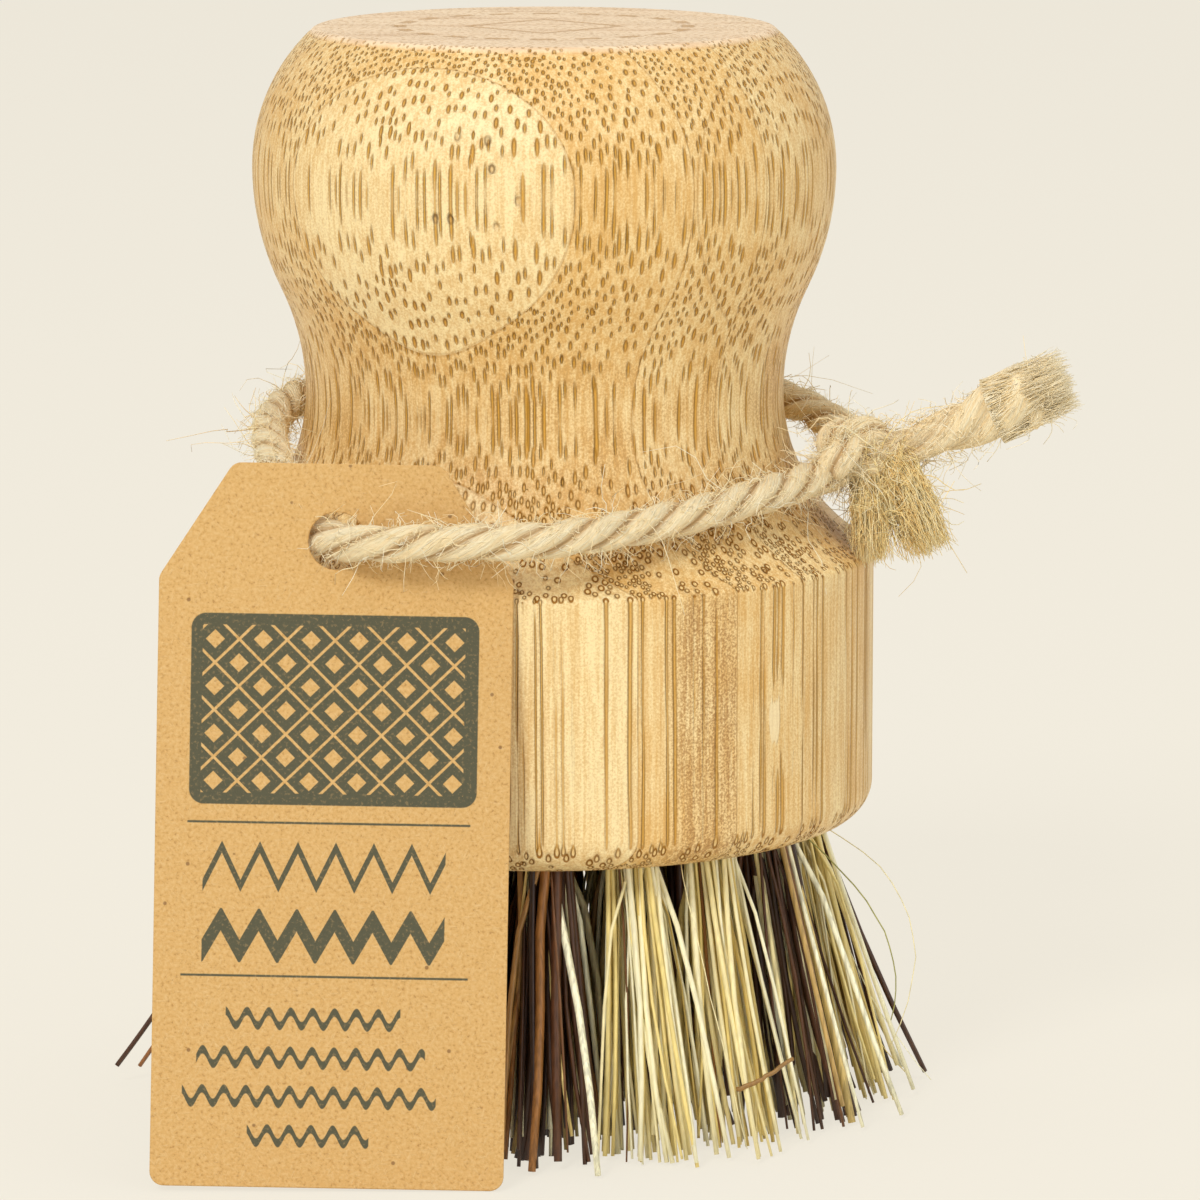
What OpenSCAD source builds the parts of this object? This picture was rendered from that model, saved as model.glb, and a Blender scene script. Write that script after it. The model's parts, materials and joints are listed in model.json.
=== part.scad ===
// Round vegetable brush: a turned handle glued up from bamboo layers, plant fibre
// tufts held in blind holes by metal anchors, and a card tag on a tied jute twine.
// The brush stands on its trimmed tips: Z = 0 is the plane of the tips, the Z axis
// is the axis that the handle was turned on, and the side with the tag faces -Y.

/* [Handle] */
// Diameter of the skirt, the widest turned part
skirt_d = 60; // [58.5:0.5:61.5]
// Height of the turned wood, from the underside to the top of the knob
wood_h = 72; // [70:0.5:75]
// Largest diameter of the knob
knob_d = 52.8; // [50:0.2:54]
// Drop from the top of the knob to its widest place
knob_drop = 12.6; // [11.8:0.2:13.6]
// Diameter at which the knob's swell would meet the flat top
top_d = 41.4; // [38:0.2:43]
// Radius of the softened edge round the flat top
top_edge_r = 0.8; // [0.4:0.1:1.4]
// Radius of the swell under the widest place of the knob
swell_r = 24.7; // [22:0.1:27]
// Diameter of the neck
neck_d = 43.4; // [42.4:0.2:44]
// Drop from the top of the knob to the neck
neck_drop = 33; // [32:0.5:35]
// Radius of the hollow flare between the neck and the skirt
flare_r = 16.5; // [15:0.5:18]
// Radius of the softened edge where the flare meets the skirt
shoulder_r = 0.8; // [0.4:0.1:1.4]
// Radius of the rounding round the underside
foot_r = 3.3; // [2:0.1:3.6]

/* [Lamination] */
// Thickness of one bamboo layer
layer_t = 7.5; // [7.3:0.1:7.7]
// Turn of the glued layers about the axis, away from the side with the tag
layer_turn = 25.2; // [0:0.2:60]
// Allowance of the outermost layers outside the turned shape
blank_extra = 3; // [1:0.5:6]
// Distance of the glued edge joint in the third layer from the middle
edge_joint = 21.9; // [18:0.1:24]

/* [Tufts] */
// Free length of the bristles under the wood
bristle_l = 26; // [22:0.5:30]
// Distance between two rings of tufts, and between tufts in a ring
tuft_pitch = 7.7; // [7.4:0.1:7.8]
// Diameter of a tuft hole
hole_d = 4.9; // [4.5:0.1:5.1]
// Depth of a tuft hole
hole_depth = 12; // [10:0.5:14]
// Running clearance between a tuft's root and its hole, all round
root_clear = 0.05; // [0.02:0.01:0.1]
// Widening of the whole brush face from the wood to the tips
face_flare = 1.22; // [1.1:0.01:1.24]
// Widening of one tuft from its root to its tips
tuft_flare = 2.15; // [1.6:0.05:2.2]
// Radius of one bristle at the wood
bristle_r = 0.4; // [0.3:0.02:0.44]
// Radius of one bristle at its tip
bristle_tip_r = 0.34; // [0.2:0.02:0.4]
// Greatest shortfall of a tip above the trimmed plane
tip_scatter = 2.6; // [0.5:0.1:4]

/* [Anchors] */
// Width of a metal anchor, across its tuft hole
anchor_w = 5.5; // [5.2:0.1:5.8]
// Thickness of an anchor's sheet
anchor_t = 0.4; // [0.3:0.05:0.6]
// Height of an anchor
anchor_h = 2; // [1.5:0.1:2.6]
// Distance from the bottom of the hole to the anchor
anchor_set = 2.4; // [2:0.1:3.5]
// Clearance round an anchor in the wood and in the fibres
anchor_clear = 0.03; // [0.02:0.01:0.08]

/* [Hang tag] */
// Width of the card
tag_w = 30.8; // [28:0.2:32]
// Length of the card
tag_l = 63; // [56:0.5:63]
// Thickness of the card
tag_t = 0.5; // [0.4:0.1:0.6]
// Diameter of the punched hole
tag_hole_d = 5; // [4.8:0.1:6]
// Distance from the top edge of the card to the middle of the hole
tag_hole_drop = 6.7; // [5:0.1:9]
// Width of the cut-off top corners
tag_chamfer_w = 6.7; // [4:0.1:8]
// Height of the cut-off top corners
tag_chamfer_h = 9.7; // [6:0.1:12]
// Radius of the card's rounded corners
tag_corner_r = 1.2; // [0.5:0.1:2]
// Lean of the card: its lower end stands away from the bristles
tag_lean = 9; // [8.5:0.5:12]
// Turn of the card in its own plane, lower end to the left
tag_turn = 1; // [-2:0.5:3]
// Gap between the card and the skirt's shoulder
tag_gap = 0.35; // [0.3:0.05:1]

/* [Twine] */
// Diameter of the jute twine
twine_d = 3; // [2.6:0.1:3.1]
// Diameter of the frayed end of the long tail
fray_d = 6.6; // [5:0.2:8]
// Diameter of the frayed end of the short tail
tuft_end_d = 6; // [4:0.2:6.4]

/* [Hidden] */
ROUND = 180;
skirt_r = skirt_d / 2;
knob_r = knob_d / 2;
neck_r = neck_d / 2;
z_wood = bristle_l;
z_top = bristle_l + wood_h;
z_knob = z_top - knob_drop;
z_neck = z_top - neck_drop;

// The knob above its widest place: the arc through the flat top's edge that is
// upright at the widest place.
crown_r = (pow(knob_r - top_d / 2, 2) + pow(knob_drop, 2)) / (knob_r - top_d / 2) / 2;
crown_x = knob_r - crown_r;
top_edge_x = crown_x + sqrt(pow(crown_r - top_edge_r, 2) - pow(knob_drop - top_edge_r, 2));
// The hollow over the neck: the arc that is upright at the neck and runs smoothly
// into the swell.
swell_x = knob_r - swell_r;
neck_rise = z_knob - z_neck;
hollow_r = (pow(neck_r - swell_x, 2) + pow(neck_rise, 2) - pow(swell_r, 2))
    / (swell_r - neck_r + swell_x) / 2;
hollow_x = neck_r + hollow_r;
z_turn = z_knob - neck_rise * swell_r / (swell_r + hollow_r);
// The flare under the neck, and the rounding where it meets the upright skirt.
flare_x = neck_r + flare_r;
shoulder_x = skirt_r - shoulder_r;
z_shoulder = z_neck - sqrt(pow(flare_r + shoulder_r, 2) - pow(flare_x - shoulder_x, 2));
z_flare = z_neck - (z_neck - z_shoulder) * flare_r / (flare_r + shoulder_r);

// Tufts: one in the middle and three rings round it, every second ring turned by
// half a step.
RINGS = 3;
TUFTS = [
    [0, 0],
    for (k = [1:RINGS])
        for (j = [0:6 * k - 1])
            let (a = (j + (k % 2) / 2) * 60 / k)
            [k * tuft_pitch * cos(a), k * tuft_pitch * sin(a)]
];
// Tufts of dark fibre, counted as the nodes are; the others are pale.
DARK_TUFTS = [1, 3, 6, 9, 12, 16, 17, 18, 19, 20, 24, 27, 30, 33, 36];
root_d = hole_d - 2 * root_clear;
z_hole_end = z_wood + hole_depth;
// Bristles of one tuft: rings of [count, radius], from its middle outwards.
BRISTLE_RINGS = [[1, 0], [4, 0.19 * root_d], [8, 0.4 * root_d]];
bristle_sink = 1.5;
z_bristle_root = z_wood + bristle_sink;
root_recess = 0.2;
// Share of the free length at which a bristle has its middle ring.
MIDDLE = 0.45;

// The card's hole: the card clears the shoulder of the skirt by tag_gap.
hang_z = z_neck - 9.1;
hang = [-17.8, -skirt_r - tag_gap - tag_t / 2 + (hang_z - z_shoulder) * tan(tag_lean), hang_z];

// The twine's route round the neck, from the knot past the front of the card,
// through its hole and round behind the neck back to the knot. The first points
// are counted from the card's hole, the others from the middle of the neck.
FRONT_ROUTE = [
    [17, -2.4, 0.4], [12.2, -3.1, 0.4], [8.2, -3, 0.3], [5.1, -2.64, 0.2], [3.15, -2.33, 0.1],
    [1.4, -1.42, 0], [0, 0, 0], [-1.2, 1.75, 0.2], [-2.3, 3.6, 0.8]
];
KNOT_ROUTE = [
    [28.4, -5.6, -5.8], [23.6, -10.8, -6.8], [18.9, -17.3, -7.2], [14.2, -21.9, -7.8],
    [9.4, -25.6, -8.3], [4.4, -29.2, -8.6]
];
NECK_ROUTE = [
    [-22, -22, -6.6], [-23.5, -16.7, -4.9], [-24.4, -10.8, -3.7], [-24.8, -4.8, -3],
    [-24.4, 1.4, -2.4], [-23, 7.5, -2], [-20.4, 13, -1.6], [-16.3, 17.9, -1.3],
    [-11, 21.5, -1.1], [-5.1, 23.7, -1], [1.3, 24.2, -1], [7.6, 23.1, -1.1], [13.2, 20.4, -1.3],
    [18, 16.2, -1.8], [22.4, 11.4, -2.6], [25.9, 5.8, -3.6], [28.2, 1, -4.6],
    [29.6, -1.8, -5.2]
];
twine_r = twine_d / 2;
neck_mid = [0, 0, z_neck];
LOOP = concat([for (p = KNOT_ROUTE) neck_mid + p], [for (p = FRONT_ROUTE) hang + p],
    [for (p = NECK_ROUTE) neck_mid + p]);
KNOT_AT = neck_mid + [30.2, -4, -5.4];
LONG_TAIL = [[2, -0.3, 1], [4.8, -0.6, 2], [9.3, -1.4, 3.8], [13.2, -2, 6], [15.4, -2.3, 7.4],
    [17.6, -2.5, 8.8]];
SHORT_TAIL = [[0.8, -1.2, -1.9], [1.2, -1.8, -2.8], [2.2, -3.2, -5.2], [3.2, -4.4, -7.8]];

function count_name(stem, i) = str(stem, i < 10 ? "0" : "", i);

// Half of the turned outline, as rounds and squares: X is the radius, Y the height.
module half_outline() {
    // flat top with its softened edge
    translate([0, z_knob]) square([top_edge_x, knob_drop]);
    intersection() {
        translate([top_edge_x, z_top - top_edge_r]) circle(top_edge_r);
        translate([top_edge_x, z_knob]) square([knob_r, knob_drop]);
    }
    // crown of the knob, up to where the softened edge takes over
    intersection() {
        translate([crown_x, z_knob]) circle(crown_r);
        translate([0, z_knob]) square([knob_r + 1, knob_drop - top_edge_r * 0.7]);
    }
    // swell under the widest place
    intersection() {
        translate([swell_x, z_knob]) circle(swell_r);
        translate([0, z_turn]) square([knob_r + 1, z_knob - z_turn]);
    }
    // hollow over the neck
    difference() {
        translate([0, z_neck]) square([hollow_x, z_turn - z_neck]);
        translate([hollow_x, z_neck]) circle(hollow_r);
    }
    // flare under the neck
    difference() {
        translate([0, z_flare]) square([flare_x, z_neck - z_flare]);
        translate([flare_x, z_neck]) circle(flare_r);
    }
    // softened shoulder
    translate([0, z_shoulder]) square([shoulder_x, z_flare - z_shoulder]);
    intersection() {
        translate([shoulder_x, z_shoulder]) circle(shoulder_r);
        translate([shoulder_x, z_shoulder]) square([skirt_r, z_flare - z_shoulder]);
    }
    // skirt and the rounding under it
    translate([0, z_wood + foot_r]) square([skirt_r, z_shoulder - z_wood - foot_r]);
    translate([0, z_wood]) square([skirt_r - foot_r, foot_r]);
    intersection() {
        translate([skirt_r - foot_r, z_wood + foot_r]) circle(foot_r);
        translate([skirt_r - foot_r, z_wood]) square([foot_r, foot_r]);
    }
}

module turned_block() rotate_extrude($fn = ROUND) half_outline($fn = ROUND);

// Distance of a point in plan from the glued planes' middle, along their normal.
function across_layers(p) = -p[0] * sin(layer_turn) - p[1] * cos(layer_turn);

// Space for tuft p: its blind hole, and the slit that the anchor's ends press into.
module tuft_socket(p) {
    translate([p[0], p[1], z_wood - 1]) cylinder(d = hole_d, h = hole_depth + 1, $fn = 48);
    anchor_space(p, anchor_clear);
}

// Flat metal anchor across hole p, larger by gap on every side.
module anchor_space(p, gap) {
    translate([p[0], p[1], z_hole_end - anchor_set - anchor_h / 2]) rotate([0, 0, -layer_turn])
        cube([anchor_w + 2 * gap, anchor_t + 2 * gap, anchor_h + 2 * gap], center = true);
}

// The part of the handle between two glued planes, from_c to to_c across the
// layers, from_s to to_s along them and low to high, with its share of the sockets.
module bamboo_piece(from_c, to_c, from_s = -skirt_d, to_s = skirt_d, low = 0, high = z_top + 1) {
    color([0.87, 0.71, 0.45])
    difference() {
        intersection() {
            turned_block();
            rotate([0, 0, -layer_turn]) translate([from_s, -to_c, low])
                cube([to_s - from_s, to_c - from_c, high - low]);
        }
        for (p = TUFTS)
            if (across_layers(p) > from_c - hole_d && across_layers(p) < to_c + hole_d
                && low < z_hole_end)
                tuft_socket(p);
    }
}

// The third layer's narrow strip, past its edge joint. The neck is turned clear
// through it, so it is left in two pieces.
module edge_strip(low, high) {
    color([0.87, 0.71, 0.45])
    difference() {
        bamboo_piece(layer_t, 2 * layer_t, low = low, high = high);
        rotate([0, 0, -layer_turn]) translate([-skirt_d, -3 * layer_t, 0])
            cube([skirt_d + edge_joint, 3 * layer_t, z_top + 1]);
    }
}

outer_c = skirt_r + blank_extra;
module bamboo_layer_1_knob() bamboo_piece(3 * layer_t, outer_c, low = z_neck);
module bamboo_layer_1_skirt() bamboo_piece(3 * layer_t, outer_c, high = z_neck);
module bamboo_layer_2() bamboo_piece(2 * layer_t, 3 * layer_t);
module bamboo_layer_3() bamboo_piece(layer_t, 2 * layer_t, to_s = edge_joint);
module bamboo_edge_strip_knob() edge_strip(z_neck, z_top + 1);
module bamboo_edge_strip_skirt() edge_strip(0, z_neck);
module bamboo_layer_4() bamboo_piece(0, layer_t);
module bamboo_layer_5() bamboo_piece(-layer_t, 0);
module bamboo_layer_6() bamboo_piece(-2 * layer_t, -layer_t);
module bamboo_layer_7() bamboo_piece(-3 * layer_t, -2 * layer_t);
module bamboo_layer_8_knob() bamboo_piece(-outer_c, -3 * layer_t, low = z_neck);
module bamboo_layer_8_skirt() bamboo_piece(-outer_c, -3 * layer_t, high = z_neck);

module tuft_anchors() {
    color([0.72, 0.71, 0.68])
    for (p = TUFTS) anchor_space(p, 0);
}

// A repeatable share between 0 and 1 for bristle b of tuft t.
function share(t, b) = let (v = 12.9898 * (t + 1) + 78.233 * (b + 1)) (sin(v * 57.3) + 1) / 2;

// Height of the tip of bristle b in tuft t: two in three are trimmed at Z = 0.
function tip_z(t, b) = share(t, b) < 0.66 ? 0 : tip_scatter * (share(t, b) - 0.6) / 0.4;

// One bristle, as a three-sided strand with a ring at the root, middle and tip. Its
// place in plan is the tuft's middle p and its own place q in the tuft, each widened
// in proportion to the way down, so that no two bristles can cross.
module bristle(p, q, z_tip, turn) {
    rings = [for (r = [[z_bristle_root, bristle_r],
                       [z_wood * (1 - MIDDLE), (bristle_r + bristle_tip_r) / 2],
                       [z_tip, bristle_tip_r]])
        let (way = max(0, (z_wood - r[0]) / z_wood), bend = way * (0.8 + 0.2 * way))
        [for (s = [0:2])
            let (c = p * (1 + (face_flare - 1) * bend) + q * (1 + (tuft_flare - 1) * bend))
            [c[0] + r[1] * cos(turn + 120 * s), c[1] + r[1] * sin(turn + 120 * s), r[0]]]];
    sides = [for (k = [0:1]) for (s = [0:2])
        let (a = 3 * k + s, b = 3 * k + (s + 1) % 3)
        each [[a, b, b + 3], [a, b + 3, a + 3]]];
    polyhedron([for (r = rings) each r], concat([[2, 1, 0]], sides, [[6, 7, 8]]));
}

// Tuft t: the folded root that fills its hole round the anchor, and its bristles.
module tuft(t) {
    p = TUFTS[t];
    color(len(search(t + 1, DARK_TUFTS)) > 0 ? [0.36, 0.24, 0.16] : [0.83, 0.79, 0.55])
    union() {
        difference() {
            translate([p[0], p[1], z_wood + root_recess])
                cylinder(d = root_d, h = hole_depth - root_recess - root_clear, $fn = 48);
            anchor_space(p, anchor_clear);
        }
        for (k = [0:len(BRISTLE_RINGS) - 1])
            for (j = [0:BRISTLE_RINGS[k][0] - 1])
                let (a = (j + k / 2) * 360 / BRISTLE_RINGS[k][0] + 17 * t, b = 10 * k + j)
                bristle(p, BRISTLE_RINGS[k][1] * [cos(a), sin(a)], tip_z(t, b), a);
    }
}

// Sweeps a round of the given radii along points: side is a direction that the
// route never follows, and SIDES the number of flats.
SIDES = 8;
function unit(v) = v / norm(v);
function along(points, i) = unit(points[min(i + 1, len(points) - 1)] - points[max(i - 1, 0)]);
module swept(points, radii, side) {
    n = len(points);
    rings = [for (i = [0:n - 1])
        let (u = unit(cross(along(points, i), side)), v = cross(u, along(points, i)))
        for (s = [0:SIDES - 1])
            points[i] + radii[i] * (cos(360 * s / SIDES) * u + sin(360 * s / SIDES) * v)];
    sides = [for (i = [0:n - 2]) for (s = [0:SIDES - 1])
        let (a = SIDES * i + s, b = SIDES * i + (s + 1) % SIDES)
        each [[a, b + SIDES, a + SIDES], [a, b, b + SIDES]]];
    polyhedron(rings, concat([[for (s = [SIDES - 1:-1:0]) s]], sides,
        [[for (s = [0:SIDES - 1]) SIDES * (n - 1) + s]]));
}

twine_colour = [0.78, 0.66, 0.49];
module twine_loop() color(twine_colour) swept(LOOP, [for (p = LOOP) twine_r], [0, 0, 1]);

// The knot: two turns of twine drawn tight round the loop's ends.
module twine_knot() {
    color(twine_colour)
    translate(KNOT_AT) {
        sphere(d = 1.7 * twine_d, $fn = 32);
        for (turn = [[0, 60, 35], [65, 10, 0]])
            rotate(turn) rotate_extrude($fn = 48)
                translate([0.55 * twine_d, 0]) circle(d = 0.9 * twine_d, $fn = 32);
    }
}

module twine_long_tail() {
    points = [for (p = LONG_TAIL) KNOT_AT + p];
    color(twine_colour)
    swept(points, [twine_r, twine_r, twine_r, twine_r, fray_d * 0.4, fray_d / 2], [0, 0, 1]);
}

module twine_short_tail() {
    points = [for (p = SHORT_TAIL) KNOT_AT + p];
    color([0.83, 0.66, 0.41])
    swept(points, [twine_r, twine_r, tuft_end_d * 0.42, tuft_end_d / 2], [0, 1, 0]);
}

// Outline of the card, with its hole at the origin and its top edge up.
module tag_outline() {
    r = tag_corner_r;
    top = tag_hole_drop;
    hull() {
        for (side = [-1, 1]) {
            translate([side * (tag_w / 2 - tag_chamfer_w - r / 4), top - r]) circle(r, $fn = 24);
            translate([side * (tag_w / 2 - r), top - tag_chamfer_h - r / 2]) circle(r, $fn = 24);
            translate([side * (tag_w / 2 - r), top - tag_l + r]) circle(r, $fn = 24);
        }
    }
}

module hang_tag() {
    color([0.8, 0.62, 0.4])
    translate(hang) rotate([-tag_lean, 0, 0]) rotate([90, tag_turn, 0])
        difference() {
            translate([0, 0, -tag_t / 2]) linear_extrude(tag_t) tag_outline();
            cylinder(d = tag_hole_d, h = 4 * tag_t, center = true, $fn = 48);
        }
}

bamboo_layer_1_knob();
bamboo_layer_1_skirt();
bamboo_layer_2();
bamboo_layer_3();
bamboo_edge_strip_knob();
bamboo_edge_strip_skirt();
bamboo_layer_4();
bamboo_layer_5();
bamboo_layer_6();
bamboo_layer_7();
bamboo_layer_8_knob();
bamboo_layer_8_skirt();
tuft_anchors();
for (t = [0:len(TUFTS) - 1])
    tuft(t);
twine_loop();
twine_knot();
twine_long_tail();
twine_short_tail();
hang_tag();
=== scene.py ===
"""Round vegetable brush: turned bamboo, plant fibre tufts, jute twine and a card tag."""

import json

import bpy
import numpy as np
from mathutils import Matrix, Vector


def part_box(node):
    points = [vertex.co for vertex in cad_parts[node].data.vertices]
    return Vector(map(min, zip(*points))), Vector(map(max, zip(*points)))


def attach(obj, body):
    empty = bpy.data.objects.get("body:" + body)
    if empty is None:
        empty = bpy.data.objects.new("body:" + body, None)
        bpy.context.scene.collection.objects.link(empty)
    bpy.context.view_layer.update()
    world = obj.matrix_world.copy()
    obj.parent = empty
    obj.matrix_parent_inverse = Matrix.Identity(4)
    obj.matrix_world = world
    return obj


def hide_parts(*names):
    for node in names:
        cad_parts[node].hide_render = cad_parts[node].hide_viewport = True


bl_info = {
    "name": "Round Vegetable Brush",
    "version": (1, 0, 0),
    "blender": (4, 5, 0),
    "location": "3D View > Sidebar > Brush",
    "description": "Finishes the packed brush: bamboo, fibre tufts, jute twine, card tag and stage",
    "category": "Add Mesh",
}

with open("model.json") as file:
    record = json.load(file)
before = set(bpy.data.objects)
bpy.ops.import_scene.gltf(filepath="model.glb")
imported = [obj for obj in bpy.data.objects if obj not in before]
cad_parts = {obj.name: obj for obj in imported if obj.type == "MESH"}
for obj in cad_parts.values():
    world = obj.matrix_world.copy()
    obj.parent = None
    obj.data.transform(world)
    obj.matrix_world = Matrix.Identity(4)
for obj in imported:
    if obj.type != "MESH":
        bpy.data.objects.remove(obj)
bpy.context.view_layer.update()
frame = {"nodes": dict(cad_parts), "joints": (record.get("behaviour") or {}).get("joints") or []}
NODES = frame["nodes"]
JOINTS = {joint["name"]: joint for joint in frame["joints"]}
MM = 0.001
WOOD_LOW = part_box("bamboo_layer_4")[0].z
NECK_Z = JOINTS["twine_turn"]["pos_m"][2]
HANG = np.array(JOINTS["tag_swing"]["pos_m"])

# Tufts: one in the middle and three rings round it, every second ring turned by half a step
TUFT_RINGS = 3
TUFT_PITCH = 7.7 * MM

# Bundles of the bamboo, in millimetres: spacing and radius, and the stretch of a layer's
# thickness, counted from its skin side, in which they lie. The last number is the share of them
# that is missing in the lower part of the handle.
SKIN_BANDS = (
    (0.52, 0.125, -9.0, 2.6, 0.15), (0.68, 0.15, 2.6, 5.0, 0.34), (0.88, 0.17, 5.0, 99.0, 0.3))
# How far the bundles wander sideways on their way up, in millimetres
WANDER = 0.8
# Heights in millimetres over which the flat top, the skirt's shoulder and the neck begin and end
TOP_RISE = (97.3, 97.9)
SHOULDER_RISE = (54.0, 62.0)
NECK_RISE = (58.0, 66.0)
# The scar and the smooth patch round it, in millimetres: their middle across the layers and up
# the axis, and half their sizes in these directions
SMOOTH_PATCH = (10.4, 38.4, 2.3, 4.4)
SCAR = (11.0, 38.6, 0.8, 1.7)
# Middle of the torn pores, in millimetres along the layers and up the axis
TORN_ALONG, TORN_UP = 5.2, 86.8
# Depth of the ground colour of each layer, from the rearmost to the foremost
LAYER_TONES = (0.3, 0.5, 0.25, 0.45, 0.3, 0.42, 0.5, 0.08)
# The plain ornament pressed into the flat top, in millimetres: a ring of dashes round a lozenge
TOP_DASHES = 20
TOP_RING, TOP_RING_WIDTH = 13.0, 1.2
TOP_LOZENGE, TOP_LOZENGE_WIDTH = 7.0, 0.9

# Printing on the card, in millimetres from the hole. Boxes: left, right, low and high edge
PANEL = (-12.5, 12.5, -23.0, -6.4)
TRELLIS = (-11.5, 11.3, -22.0, -7.4)
TRELLIS_CELL = (4.16, 4.1)
RULES = ((-12.6, 12.0, -24.65, -24.45), (-13.0, 12.0, -38.0, -37.8))
# Zigzags: middle, height, period, half the line's thickness, left and right end
ZIGZAGS = ((-28.4, 3.4, 3.3, 0.52, -11.2, 9.9), (-34.4, 2.9, 3.3, 1.05, -11.2, 9.9))
# Waves: middle, left and right end
WAVES = ((-41.6, -9.0, 6.2), (-45.0, -11.5, 8.4), (-48.4, -12.7, 9.4), (-51.8, -7.0, 3.6))
WAVE_HEIGHT, WAVE_PACE = 0.62, 3.3

# The twine's route in metres. The first and last stretches are counted from the middle of
# the neck, and the middle stretch from the card's hole.
KNOT_ROUTE = [
    (0.0284, -0.0056, -0.0058), (0.0236, -0.0108, -0.0068), (0.0189, -0.0173, -0.0072),
    (0.0142, -0.0219, -0.0078), (0.0094, -0.0256, -0.0083), (0.0044, -0.0292, -0.0086),
]
FRONT_ROUTE = [
    (0.017, -0.0024, 0.0004), (0.0122, -0.0031, 0.0004), (0.0082, -0.003, 0.0003),
    (0.0051, -0.00264, 0.0002), (0.00315, -0.00233, 0.0001), (0.0014, -0.00142, 0),
    (0, 0, 0), (-0.0012, 0.00175, 0.0002), (-0.0023, 0.0036, 0.0008),
]
NECK_ROUTE = [
    (-0.022, -0.022, -0.0066), (-0.0235, -0.0167, -0.0049), (-0.0244, -0.0108, -0.0037),
    (-0.0248, -0.0048, -0.003), (-0.0244, 0.0014, -0.0024), (-0.023, 0.0075, -0.002),
    (-0.0204, 0.013, -0.0016), (-0.0163, 0.0179, -0.0013), (-0.011, 0.0215, -0.0011),
    (-0.0051, 0.0237, -0.001), (0.0013, 0.0242, -0.001), (0.0076, 0.0231, -0.0011),
    (0.0132, 0.0204, -0.0013), (0.018, 0.0162, -0.0018), (0.0224, 0.0114, -0.0026),
    (0.0259, 0.0058, -0.0036), (0.0282, 0.001, -0.0046), (0.0294, -0.0018, -0.0051),
    (0.0291, -0.0042, -0.005),
]
# The knot's middle, the long end's route and the short end's root, from the middle of the neck.
KNOT_AT = (0.028, -0.0068, -0.0049)
LONG_TAIL = [
    (0.0292, -0.0066, -0.0048), (0.0318, -0.0068, -0.0043), (0.0345, -0.0067, -0.0036),
    (0.0371, -0.0067, -0.0026), (0.0399, -0.0068, -0.0013), (0.0426, -0.007, 0.0),
    (0.0452, -0.0073, 0.0011),
]
SHORT_TAIL = (0.0297, -0.0066, -0.0045)
# Radius of a loose hair at its root
HAIR_RADIUS = 0.05 * MM
# How far below the neck a hair may still lie
SHOULDER_DROP = 20 * MM
# A trefoil knot's size along its run, across it and upwards, in millimetres
KNOT_REACH, KNOT_DEPTH, KNOT_RISE = 1.3, 1.15, 0.64
# Dark, middle and light shade of each kind of loose hair, as screen values from 0 to 255
HAIR_SHADES = {
    "loose_jute": ((253, 228, 178), (255, 238, 192), (255, 247, 220)),
    "golden_jute": ((255, 220, 150), (255, 232, 168), (255, 244, 204)),
    "pale_jute_end": ((255, 232, 182), (255, 242, 210), (255, 242, 206)),
}
# Length between two rings of a twisted piece
TWINE_STEP = 0.28 * MM
UP = (0.0, 0.0, 1.0)

# How bright the floor shines by itself, and how much of what the camera sees of it does so
FLOOR_GLOW, FLOOR_SHARE = 1.03, 0.84


def plain(red, green, blue):
    """A colour given as screen values from 0 to 255, as the linear values that a shader takes."""
    screen = np.array([red, green, blue]) / 255
    linear = np.where(screen <= 0.04045, screen / 12.92, ((screen + 0.055) / 1.055) ** 2.4)
    return (*(float(value) for value in linear), 1.0)


def colour_property(name, description, *screen):
    return bpy.props.FloatVectorProperty(
        name=name, description=description, default=plain(*screen), subtype="COLOR", size=4,
        min=0, max=1,
    )


def length_property(name, description, default):
    return bpy.props.FloatProperty(
        name=name, description=description, default=default, unit="LENGTH", min=0, precision=5,
    )


def angle_property(name, description, degrees):
    return bpy.props.FloatProperty(
        name=name, description=description, default=float(np.radians(degrees)), subtype="ANGLE",
    )


def watt_property(name, description, default):
    return bpy.props.FloatProperty(
        name=name, description=description, default=default, unit="POWER")


def count_property(name, description, default):
    return bpy.props.IntProperty(name=name, description=description, default=default, min=1)


class BrushBamboo(bpy.types.PropertyGroup):
    """Sizes and colours of the glued bamboo."""

    layer: length_property("Layer", "Thickness of one glued bamboo layer", 7.5 * MM)
    turn: angle_property("Turn", "Turn of the glued layers about the brush's axis", 25.2)
    edge_joint: length_property(
        "Edge joint", "Distance of the edge joint from the middle", 21.9 * MM)
    pale: colour_property("Pale", "Palest ground between the bundles", 253, 229, 172)
    deep: colour_property("Deep", "Deepest ground between the bundles", 232, 184, 106)
    bundle: colour_property("Bundle", "Rim of a cut bundle", 160, 106, 24)
    heart: colour_property("Heart", "Middle of a cut bundle", 218, 160, 50)
    stain: colour_property("Stain", "Speckled stain near a node of the stem", 166, 120, 66)
    top: colour_property("Top", "Sanded end grain of the flat top", 253, 224, 186)
    scratch: colour_property("Scratch", "Scratches on the flat top", 224, 184, 138)
    mark: colour_property("Mark", "Pressed-in ornament of the flat top", 204, 154, 86)
    low_rim: colour_property("Low rim", "Rim of a bundle drawn out along the skirt", 188, 134, 52)
    gold_rim: colour_property("Gold rim", "Rim of a bundle drawn out along the knob", 206, 148, 44)
    pale_heart: colour_property("Pale heart", "Middle of a bundle on the shoulder", 244, 210, 142)
    scar: colour_property("Scar", "Healed scar on the skirt", 255, 236, 190)
    torn: colour_property("Torn", "Edge of a torn pore", 146, 98, 42)
    torn_heart: colour_property("Torn heart", "Inside of a torn pore", 206, 156, 80)


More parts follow.
